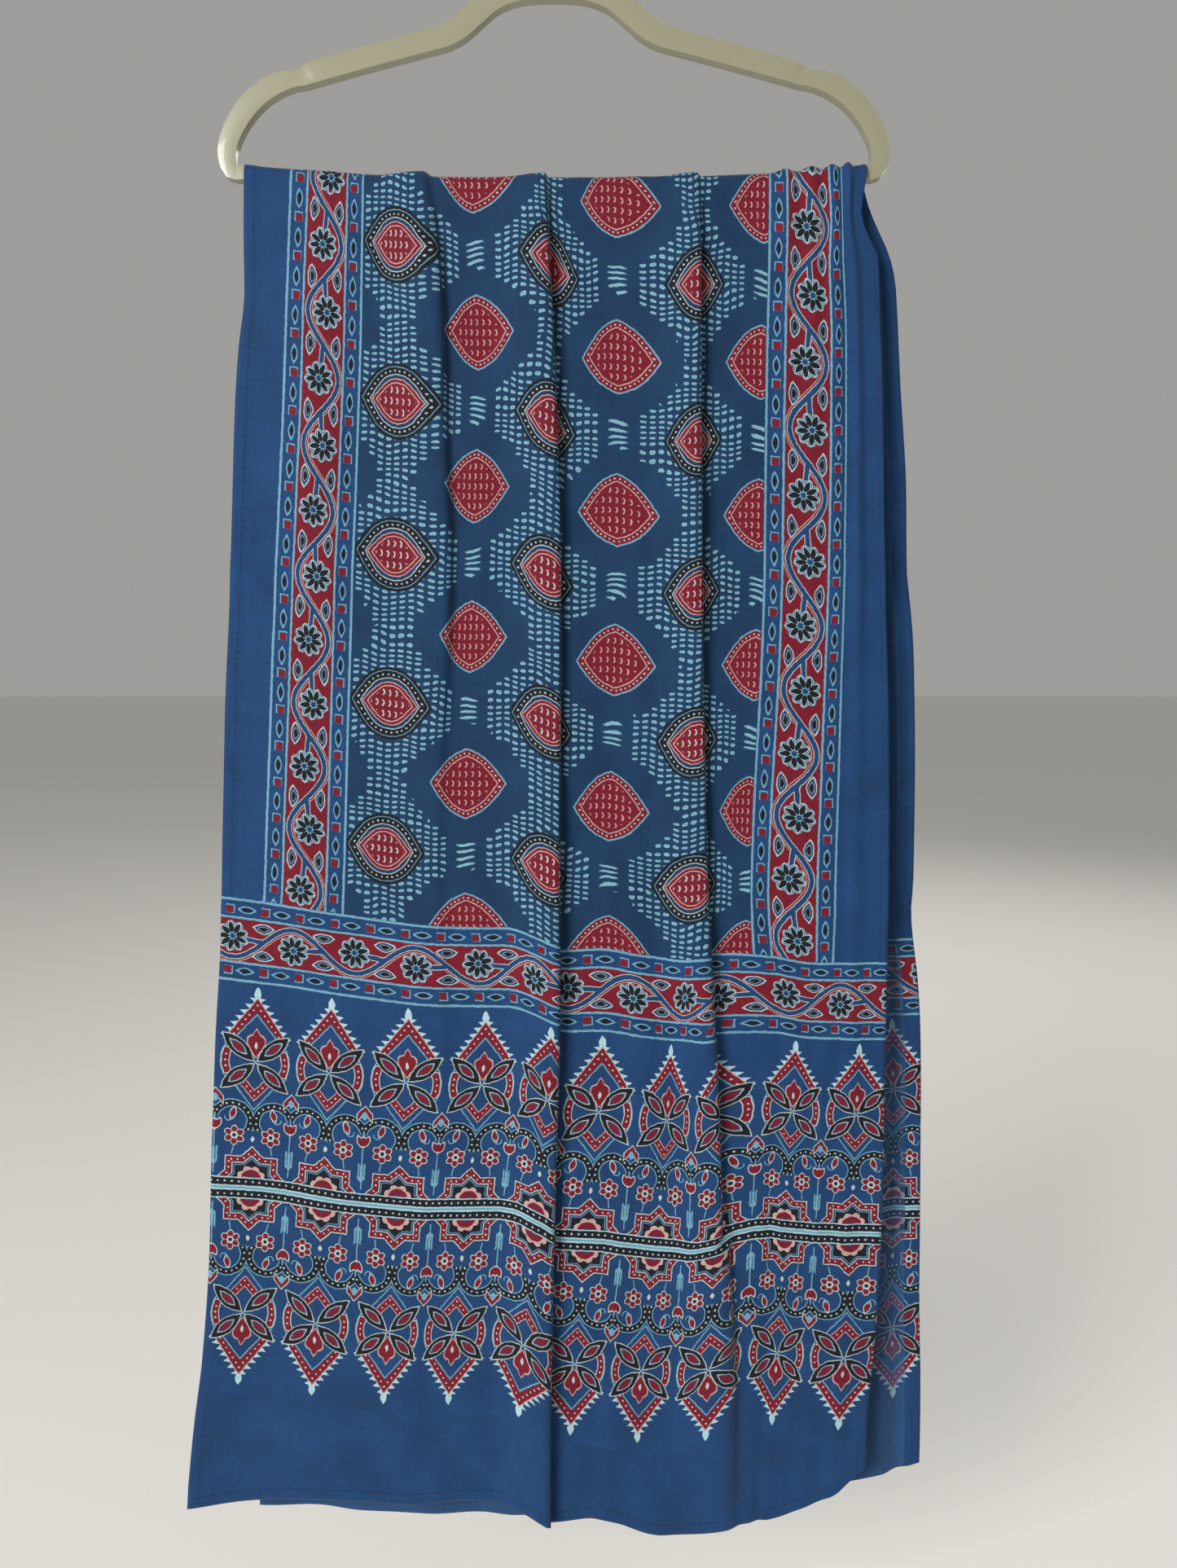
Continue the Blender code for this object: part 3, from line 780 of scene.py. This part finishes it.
def lens(across, along):
    """Nested shapes pointed at both ends: this is one where across plus along squared is one."""
    return (across + Wire.maths("SQRT", across * across + (along * 2.0) ** 2.0)) * 0.5


DASH_BLUE = dye(116, 160, 174)


def field_print():
    u, v = printed_at()
    # The field's ground, also inside the eyes, is indigo with painted shade laid in.
    ground = mottled(FIELD_INDIGO_AND_SHADE)
    eye_u = repeat(u, 117.5, 121.5)
    eye_v = repeat(v, 50.0, 100.8)
    red_u = 60.75 - eye_u
    red_v = 50.4 - eye_v

    # Rows of short dashes fill the ground between plain voids. Between the eyes they run together in bundles.
    drift = Wire.node("TexNoise", {"noise_dimensions": "2D"}, {"Vector": print_place(), "Scale": 0.05, "Detail": 0.0})
    in_bundle = Wire.maths("LESS_THAN", red_u, 13.87)
    dash_v = around(v + (drift - 0.5) * 7.0, 0.6, 4.383)
    dash_u = around(eye_u, 0, 6.25)
    void_u = (60.75 - (eye_u - dash_u)) * ~in_bundle
    void_v = 50.4 - repeat(v - dash_v, 50.0, 100.8)
    void_edge = (void_u / 48.5) ** 1.5 + (void_v / 41.0) ** 1.5
    dash_u = dash_u + in_bundle * (red_u * 0.31 - dash_u)
    dash = (abs(dash_u / 2.05) ** 2.6 + abs(dash_v / 0.95) ** 2.6) ** 0.385
    dashes = below(dash, 1, 0.3) & Wire.maths("GREATER_THAN", void_edge, 1.0)
    ground = paint(ground, DASH_BLUE, dashes)
    ground = paint(ground, dye(84, 128, 156), below(dash, 0.36, 0.5) & ~in_bundle & dashes)

    # The eye
    eye = pointed(eye_u, eye_v, 24.8, 30.0, 0.70)
    core = pointed(eye_u, eye_v, 14.8, 19.9, 0.85)
    turn = Wire.maths("ARCTAN2", eye_v, eye_u)
    ground = rings(ground, eye, (
        (1.00, BLACK), (0.915, PALE_BLUE), (0.897, BLACK), (0.712, CHALK), (0.690, FIELD_INDIGO_AND_SHADE),
    ), 0.014)
    ground = rings(ground, core, ((1.00, PINKISH), (0.96, MADDER), (0.84, PINKISH), (0.795, MADDER)), 0.024)
    ground = paint(ground, CHALK, ring_dots(eye, turn, 0.80, 26, 8, 0.62))
    marks = crescents(around(u, 117.5, 121.5) + 0.4, eye_v, 4.6, 7.2, 1.2, 2.1)
    ground = paint(ground, CHALK, marks & below(core, 0.70, 0.03))

    # The red motif
    red = pointed(red_u, red_v, 22.6, 29.2, 0.82) * pointed(red_v, red_u, 1.0, 1.09, 0.60) / length(red_u, red_v)
    turn = Wire.maths("ARCTAN2", red_v, red_u)
    ground = rings(ground, red, ((1.00, PALE_BLUE), (0.955, MADDER), (0.79, PINKISH), (0.76, MADDER)), 0.016)
    ground = paint(ground, CHALK, ring_dots(red, turn, 0.868, 25, 9, 0.6))
    marks = crescents(around(u, 178.25, 121.5) + 0.6, red_v, 5.0, 6.6, 1.25, 1.9)
    return paint(ground, PINKISH, marks & below(red, 0.66, 0.02))


BLUE_CHALK = dye(156, 186, 194)


def border_print():
    s, t = printed_at()
    middle = t - 29.9
    ground = mottled(INDIGO)

    # A chain of small squares and spindles runs down either side.
    side = abs(middle)
    chain_t = side - 22.0
    square_s = around(s, 4.0, 25.4)
    spindle_s = around(s, 15.7, 25.4)
    square = abs(square_s) | abs(chain_t)
    ground = paint(ground, PALE_BLUE, band(square, 2.75, 0.40, 0.35))
    ground = paint(ground, MADDER, below(abs(square_s + 0.7) | abs(chain_t + 0.5), 2.5, 0.3))
    spindle = lens(abs(chain_t) / 2.6, spindle_s / 6.8)
    ground = rings(ground, spindle, ((1.00, PALE_BLUE), (0.72, INDIGO), (0.56, BLACK)), 0.08)

    # The red vine band, between pale stripes
    ground = paint(ground, MADDER, below(side, 15.2, 0.3))
    pitch = 44.0
    phase = (s - 6.0) * (math.pi / pitch)
    wave = Wire.maths("COSINE", phase)
    slope = Wire.maths("SINE", phase)
    stem = (middle - wave * 12.3) / length(slope * 0.88, 1.0)
    flower_s = around(s, 6.0, pitch)
    stalk = abs(middle + wave * 1.4) | (abs(flower_s - 14.0) - 6.0)
    ground = paint(ground, PINKISH, band(stem, 3.3, 0.26, 0.3))
    leaf_t = side - 9.6
    leaf_s = repeat(s, 6.0 + pitch / 2, pitch)
    leaf = lens(abs(leaf_t - leaf_s * 0.12) / 3.4, leaf_s / 7.6)
    ground = rings(ground, leaf, ((1.08, CHALK), (0.90, INDIGO), (0.56, CHALK), (0.50, BLACK)), 0.08)
    line = abs(stem) & stalk
    ground = rings(ground, line, ((2.05, CHALK), (1.55, INDIGO)), 0.3)

    # A flower in each bend, set a little away from the stem
    flower_t = middle + wave * 2.6
    radius = length(flower_s, flower_t)
    turn = Wire.maths("ARCTAN2", flower_t, flower_s)
    petals = 9
    petal = (Wire.maths("FRACT", turn * (petals / math.tau)) - 0.5) * (math.tau / petals)
    across = petal * radius
    lobe = ellipse(radius - 8.4, across, 2.7, 3.2)
    lobes = below(lobe, 1.0, 0.12) | below(radius, 8.2, 0.3)
    ground = paint(ground, BLUE_CHALK, lobes)
    ground = paint(ground, INDIGO, below(lobe, 0.84, 0.12) | (below(radius, 8.0, 0.3) & below(abs(across), 2.5, 0.3)))
    core = lens(abs(across) / 2.0, (radius - 6.2) / 4.6)
    ground = rings(ground, core, ((1.16, BLUE_CHALK), (0.94, BLACK)), 0.12)
    ground = rings(ground, radius, ((2.4, PALE_BLUE), (1.9, INDIGO)), 0.3)

    ground = paint(ground, PALE_BLUE, band(side, 16.1, 0.75, 0.3))
    return paint(ground, PALE_BLUE, band(side, 28.8, 0.85, 0.3))


def panel_print():
    u, w = printed_at()
    pitch = 53.4
    ground = mottled(INDIGO)
    x = around(u, 28.0, pitch)
    side = abs(x)
    out = abs(w)
    far = pitch / 2 - side
    fy = out - 94.0

    # Chevrons with pale teeth close the panel: their tips stand over the flower discs.
    edge = (fy + side * 1.42 - 47.5) / 1.74
    along = (side - (fy - 47.5) * 1.42) / 1.74
    tooth = around(along, 7.5, 5.6)
    teeth = below(abs(tooth - edge * 0.4) + edge * 0.5, 2.1, 0.3) & below(0.0, edge, 0.3) & below(15.5, fy, 0.5)
    finial = lens(side / 2.4, (fy - 50.0) / 5.4)
    ground = paint(ground, BLUE_CHALK, teeth | below(finial, 1.0, 0.1))
    ground = paint(ground, PINKISH, band(edge, -0.1, 0.42, 0.3) & below(17.5, fy, 0.5))
    inside = (fy + side * 1.22 - 35.6) / 1.58
    ground = paint(ground, MADDER, below(edge, -0.4, 0.3) & below(0.6, inside, 0.3) & below(15.5, fy, 0.5))
    ground = paint(ground, CHALK, below(length(edge + 3.1, around(along, 0.0, 4.5)), 0.62, 0.4) & below(17.0, fy, 0.5))
    ground = paint(ground, PALE_BLUE, band(inside, -0.2, 0.42, 0.3) & below(14.5, fy, 0.5))

    # The disc: a thin ring with red crescents at its sides, and a pale point below it
    disc = length(side, fy)
    low = abs(fy)
    ring = band(disc, 24.0, 0.4, 0.3) & below(low, 14.0, 0.3)
    ground = paint(ground, PALE_BLUE, ring)
    crescent = abs(disc - 20.9) | (low - 7.0)
    ground = rings(ground, crescent, ((2.9, CHALK), (2.3, MADDER)), 0.3)
    ground = paint(ground, CHALK, below(length(disc - 20.9, around(fy, 0.0, 4.3)), 0.65, 0.4) & below(low, 7.5, 0.3))
    point = (side * 1.25 - fy - 34.8) / 1.6
    ground = paint(ground, PALE_BLUE, band(point, 0.0, 0.4, 0.3) & below(fy, -17.0, 0.3))
    vee = (side * 1.15 - fy - 24.4) / 1.52
    vee_part = below(side, 9.6, 0.3)
    ground = paint(ground, PINKISH, band(vee, 0.0, 2.8, 0.3) & vee_part)
    ground = paint(ground, MADDER, band(vee, 0.0, 2.2, 0.3) & vee_part)
    vee_along = (side + (fy + 24.4) * 1.15) / 1.52
    ground = paint(ground, CHALK, below(length(vee, around(vee_along, 0.0, 4.2)), 0.6, 0.4) & vee_part)

    # Four pointed petals and a lotus bud stand on the disc.
    petal_along = side * 0.752 + low * 0.659
    petal_across = abs(low * 0.752 - side * 0.659)
    petal = lens(petal_across / 5.6, (petal_along - 16.3) / 14.8)
    bud = lens(side / 6.4, (fy - 12.0 - side * 0.62) / 8.4) & lens(side / 3.4, (fy - 16.0) / 8.8)
    ground = rings(ground, bud, ((1.06, PINKISH), (0.94, MADDER)), 0.07)
    ground = paint(ground, CHALK, below(lens(side / 1.1, (fy - 12.4) / 2.8), 1.0, 0.2))
    ground = rings(ground, petal, (
        (1.04, CHALK), (0.96, BLACK), (0.56, CHALK), (0.49, INDIGO), (0.39, MADDER),
    ), 0.05)
    ground = paint(ground, PALE_BLUE, below(disc, 1.0, 0.3))

    # Scroll arches, with a small hat over each dip and a red curl under each arch
    arch_x = far - 12.1
    arch_y = out - 50.2
    arch_r = length(arch_x, arch_y)
    arch_turn = Wire.maths("ARCTAN2", arch_x, arch_y)
    arch_part = below(43.2 + Wire.maths("MAXIMUM", 12.1 - far, 0.0) * 0.9, out, 0.4)
    arch = abs(arch_r - 12.7)
    ground = paint(ground, PALE_BLUE, below(arch, 3.0, 0.3) & arch_part)
    ground = paint(ground, BLACK, below(arch, 2.3, 0.3) & arch_part)
    arch_dots = below(length(arch_r - 12.7, around(arch_turn * 12.7, 0.0, 4.3)), 0.68, 0.4)
    ground = paint(ground, CHALK, arch_dots & arch_part)
    curl_x = far - 12.4 - (out - 55.5) * 0.22
    curl = lens(abs(curl_x) / 2.2, (out - 55.5) / 4.9)
    ground = rings(ground, curl, ((1.14, CHALK), (0.88, MADDER)), 0.08)
    hook = length(far - 9.4, out - 52.2)
    ground = paint(ground, PALE_BLUE, band(hook, 2.5, 0.36, 0.3) & below(out, 53.0, 0.3))
    hat = (out + far * 1.15 - 73.0) / 1.52
    ground = paint(ground, CHALK, band(hat, -1.6, 2.1, 0.3) & below(far, 5.8, 0.3))
    ground = paint(ground, MADDER, band(hat, -1.6, 1.5, 0.3) & below(far, 5.2, 0.3))
    ground = paint(ground, PALE_BLUE, below(lens(far / 2.2, (out - 66.0) / 3.2), 1.0, 0.15))

    # A tulip on an arrow between the stars
    ground = paint(ground, PALE_BLUE, below(far, 0.42, 0.3) & band(out, 33.0, 22.0, 0.3))
    arrow = abs(far) | (abs(out - 22.6 - far * 0.9) - 3.4)
    ground = paint(ground, PALE_BLUE, below(arrow, 2.6, 0.4))
    ground = paint(ground, INDIGO, band(far, 1.25, 0.28, 0.3) & below(abs(out - 24.0 - far * 0.9), 4.4, 0.3))
    tulip_y = out - 47.0
    leaf_along = (far - 2.1) * 0.42 + tulip_y * 0.91
    leaf_across = abs((far - 2.1) * 0.91 - tulip_y * 0.42)
    tulip = lens(leaf_across / 2.2, leaf_along / 4.6) & lens(far / 2.3, tulip_y / 3.7)
    ground = rings(ground, tulip, ((1.14, CHALK), (0.88, MADDER)), 0.1)

    # Six-petalled flowers on short stems, and small drops between them
    qx = side - 12.9
    qy = out - 39.2
    small = length(qx, qy)
    turn = Wire.maths("ARCTAN2", qy, qx)
    leaf = (Wire.maths("FRACT", turn * (6 / math.tau)) - 0.5) * (math.tau / 6)
    leaves = length(small - 4.7, leaf * small)
    ground = paint(ground, PALE_BLUE, below(abs(qx + qy * 0.2 + 6.5 * 0.2), 0.38, 0.3) & band(out, 30.0, 4.5, 0.3))
    ground = rings(ground, leaves, ((2.75, CHALK), (2.1, MADDER)), 0.3)
    ground = rings(ground, small, ((2.0, CHALK), (1.4, BLACK)), 0.3)
    drop = lens(side / 1.3, (out - 37.2) / 2.3)
    ground = paint(ground, CHALK, below(drop, 1.0, 0.15))

    # Half stars rise from the double stripe.
    star_y = out - 5.4
    star = Wire.maths("MAXIMUM", side, star_y) * 1.414 & side + abs(star_y)
    ground = rings(ground, star, (
        (26.6, CHALK), (25.6, MADDER), (19.8, CHALK), (18.9, INDIGO), (17.4, PALE_BLUE), (16.8, BLACK),
    ), 0.4)
    star_edge = Wire.maths("COMPARE", Wire.maths("MAXIMUM", side, star_y) * 1.414, star, 0.001)
    star_along = side & star_y
    diagonal = (side - star_y) * 0.707
    dots = star_edge * around(star_along, 1.5, 4.2) + ~star_edge * around(diagonal, 0.0, 4.2)
    ground = paint(ground, CHALK, below(length((star - 22.5) * 0.707, dots), 0.65, 0.4))
    core = length(side, out - 6.8)
    core_turn = Wire.maths("ARCTAN2", side, out - 6.8)
    petals = core - abs(Wire.maths("SINE", core_turn * 4.0)) * 2.0
    ground = paint(ground, PINKISH, below(petals, 8.3, 0.4))
    ground = rings(ground, core, ((7.2, MADDER), (2.8, INDIGO)), 0.35)

    # The double stripe
    ground = rings(ground, out, ((8.1, BLUE_CHALK), (7.3, BLACK), (1.9, BLUE_CHALK), (0.9, PALE_BLUE)), 0.3)
    return paint(ground, CHALK, below(length(out - 4.7, around(u, 0.0, 4.9)), 0.72, 0.4))


def plain_print():
    """The dyed ends and margins, with a row of dark hand stitches along each edge."""
    u, v = printed_at()
    ground = mottled(INDIGO)
    side_line = band(265.0 - abs(u - 265.0), 6.6, 0.35, 0.3) & below(repeat(v, 0.0, 4.4), 1.3, 0.3)
    end_line = band(v, 8.0, 0.35, 0.3) & below(repeat(u, 0.0, 4.4), 1.3, 0.3)
    return paint(ground, THREAD, side_line | end_line)


def cotton(name, draw, wrong_side=False):
    """Handwoven cotton with one zone's print. Its wrong side shows a paler print that has soaked through."""
    material = bpy.data.materials.new(name)
    material.use_nodes = True
    Wire.tree = material.node_tree
    shader = Wire.tree.nodes["Principled BSDF"]
    colour = draw()
    if wrong_side:
        colour = paint(SOAKED_INDIGO, colour, 0.45)
    warp_place = Wire.node("VectorMath", {"operation": "MULTIPLY"}, {0: print_place(), 1: (1.3, 0.03, 0)})
    weft_place = Wire.node("VectorMath", {"operation": "MULTIPLY"}, {0: print_place(), 1: (0.03, 1.3, 0)})
    warp = Wire.node("TexNoise", {"noise_dimensions": "2D"}, {"Vector": warp_place, "Scale": 1.0, "Detail": 2.0})
    weft = Wire.node("TexNoise", {"noise_dimensions": "2D"}, {"Vector": weft_place, "Scale": 1.0, "Detail": 2.0})
    tone = (warp + weft) * 0.42 + 0.58
    colour = Wire.node("VectorMath", {"operation": "SCALE"}, {0: colour, 3: tone})
    Wire.tree.links.new(colour.socket, shader.inputs["Base Color"])
    weave = Wire.node("TexNoise", {}, {"Vector": print_place(), "Scale": 0.9, "Detail": 3.0})
    bump = Wire.node("Bump", {}, {"Height": weave, "Strength": 0.35, "Distance": 0.0005})
    Wire.tree.links.new(bump.socket, shader.inputs["Normal"])
    shader.inputs["Roughness"].default_value = 0.82
    shader.inputs["Specular IOR Level"].default_value = 0.22
    shader.inputs["Sheen Weight"].default_value = 0.08
    return material


MATERIAL_NAMES = ("plain", "border", "field", "panel")
DRAWINGS = {"plain": plain_print, "border": border_print, "field": field_print, "panel": panel_print}
for name in MATERIAL_NAMES:
    cloth.data.materials.append(cotton(name, DRAWINGS[name]))
for name in MATERIAL_NAMES:
    cloth.data.materials.append(cotton(name + " wrong side", DRAWINGS[name], wrong_side=True))
material_of = {"plain": 0, "margin": 0, "border": 1, "side": 1, "field": 2, "panel": 3}
cloth.data.polygons.foreach_set("material_index", [material_of[name] for name in face_zone])
measures = np.stack([across, along], 2) * 1000
measures[face_zone == "margin"] += (0, 200)
on_side = face_zone == "side"
left_side = on_side & (face_across < 0.2)
measures[left_side] = np.stack([along * 1.016 - 0.0062, across - 0.0290], 2)[left_side] * 1000
right_side = on_side & (face_across > 0.2)
measures[right_side] = np.stack([along * 1.007 - 0.0076, 0.4850 - across], 2)[right_side] * 1000
cross = face_zone == "border"
measures[cross] = np.stack([across * 1.002 - 0.0025, -along], 2)[cross] * 1000
print_map = cloth.data.uv_layers.new(name="print")
print_map.data.foreach_set("uv", measures.astype(np.float32).ravel())
cloth.select_set(True)
bpy.context.view_layer.objects.active = cloth
cloth.vertex_groups.new(name="hems")
hem_points = np.flatnonzero(
    (columns[column_of] < HEM_ROLL + 1e-6) | (columns[column_of] > CLOTH_WIDTH - HEM_ROLL - 1e-6)
    | (row_of <= 2) | (row_of >= row_count - 3))
cloth.vertex_groups["hems"].add([int(n) for n in hem_points], 1.0, "REPLACE")
add_modifier(cloth, "SOLIDIFY", thickness=SHEET, offset=0, vertex_group="hems", thickness_vertex_group=SHEET_SHARE,
             material_offset=4, material_offset_rim=0)
bpy.ops.object.shade_smooth()

# A second map, for baking the cloth's colours, gives the right side most of the picture and overlaps nowhere.
Block = namedtuple("Block", "corner along across")
RIGHT_SIDES = (Block((0.005, 0.005), (0.990, 0), (0, 0.530)), Block((0.005, 0.550), (0.725, 0), (0, 0.395)))
WRONG_SIDES = (Block((0.005, 0.952), (0.725, 0), (0, 0.042)), Block((0.740, 0.550), (0, 0.440), (0.250, 0)))
RIM_HEIGHTS = (0.5375, 0.5405, 0.5435)
RIM_WIDTH = 0.002
row_lengths = np.linalg.norm(np.diff(points, axis=0), axis=2).mean(1)
row_shares = np.concatenate([[0], np.cumsum(row_lengths)]) / row_lengths.sum()
corner_of = np.empty(len(cloth.data.loops), int)
cloth.data.loops.foreach_get("vertex_index", corner_of)
inner = corner_of >= len(row_of)
down_cloth = row_shares[row_of[corner_of % len(row_of)]]
over_cloth = columns[column_of[corner_of % len(row_of)]] / CLOTH_WIDTH
on_back = np.repeat(down_cloth.reshape(-1, 4).mean(1) > row_shares[row_count // 2], 4)
face_of = np.arange(len(corner_of)) // 4
bake_places = np.zeros((len(corner_of), 2))

# The back layer's right-hand hem is turned to the front on the stole. Here no fold is made, but the sheet's wrong-side
# faces along that strip take the printed side's materials, so that the print shows there.
FOLDED_HEM_START = 0.518
on_fold = (face_of >= len(face_zone)) & on_back & (over_cloth >= FOLDED_HEM_START / CLOTH_WIDTH - 1e-6)
slots = np.empty(len(cloth.data.polygons), int)
cloth.data.polygons.foreach_get("material_index", slots)
slots[on_fold.reshape(-1, 4).all(1)] %= len(MATERIAL_NAMES)
cloth.data.polygons.foreach_set("material_index", slots)
for side, blocks in enumerate((RIGHT_SIDES, WRONG_SIDES)):
    for back, block in enumerate(blocks):
        chosen = (face_of // len(face_zone) == side) & (on_back == bool(back))
        first, last = (row_shares[row_count // 2], 1) if back else (0, row_shares[row_count // 2])
        along = (down_cloth[chosen] - first) / (last - first)
        bake_places[chosen] = (np.array(block.corner) + np.outer(along, block.along)
                               + np.outer(over_cloth[chosen], block.across))
on_rim = face_of >= 2 * len(face_zone)
rim_left = np.repeat((over_cloth.reshape(-1, 4).max(1) == 0), 4) & on_rim
rim_right = np.repeat((over_cloth.reshape(-1, 4).min(1) == 1), 4) & on_rim
rim_hem = on_rim & ~rim_left & ~rim_right
for chosen, height in zip((rim_left, rim_right), RIM_HEIGHTS):
    bake_places[chosen] = np.column_stack([0.005 + 0.99 * down_cloth, height + RIM_WIDTH * inner])[chosen]
hem_place = 0.005 + 0.48 * over_cloth + 0.5 * (down_cloth > 0.5)
bake_places[rim_hem] = np.column_stack([hem_place, RIM_HEIGHTS[2] + RIM_WIDTH * inner])[rim_hem]
bake_map = cloth.data.uv_layers.new(name="OFBake", do_init=False)
bake_map.data.foreach_set("uv", bake_places.astype(np.float32).ravel())

for thing in (hanger, hook, cloth):
    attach(thing, "root")
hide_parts("hanger_frame")
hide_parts("hook")
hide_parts("cloth")


# Stage
# A pale floor, soft light from the upper left in front, and a camera where the photo was taken from.
CAMERA_PLACE = (0.023, -0.82, -0.5135)
CAMERA_TILT_DOWN = math.radians(5.8)
LENS_MM = 27.04
FLOOR_LEVEL = -1.35
start_fresh()
bpy.ops.mesh.primitive_plane_add(size=60, location=(0, 0, FLOOR_LEVEL))
floor = bpy.context.object
floor.name = "floor"
floor_material = bpy.data.materials.new("floor")
floor_material.use_nodes = True
floor_material.node_tree.nodes["Principled BSDF"].inputs["Base Color"].default_value = (0.84, 0.82, 0.77, 1)
floor.data.materials.append(floor_material)
AIM = Vector((0, 0, -0.85))
Lamp = namedtuple("Lamp", "name place size watts")
LAMPS = (
    Lamp("key", (-2.00, -2.80, 0.50), 1.4, 132),
    Lamp("fill", (1.60, 2.70, 1.60), 2.0, 50),
)
for lamp in LAMPS:
    bpy.ops.object.light_add(type="AREA", location=lamp.place)
    light = bpy.context.object
    light.name = lamp.name
    light.data.energy = lamp.watts
    light.data.size = lamp.size
    light.rotation_euler = (AIM - light.location).to_track_quat("-Z", "Y").to_euler()
world = bpy.data.worlds.new("studio")
bpy.context.scene.world = world
world.use_nodes = True
world.node_tree.nodes["Background"].inputs["Color"].default_value = (0.86, 0.85, 0.82, 1)
world.node_tree.nodes["Background"].inputs["Strength"].default_value = 0.40
bpy.context.scene.view_settings.view_transform = "Standard"
bpy.ops.object.camera_add(location=CAMERA_PLACE, rotation=(math.pi / 2 - CAMERA_TILT_DOWN, 0, 0))
camera = bpy.context.object
camera.data.lens = LENS_MM
camera.data.sensor_width = 36
camera.data.clip_start = 0.01
bpy.context.scene.camera = camera
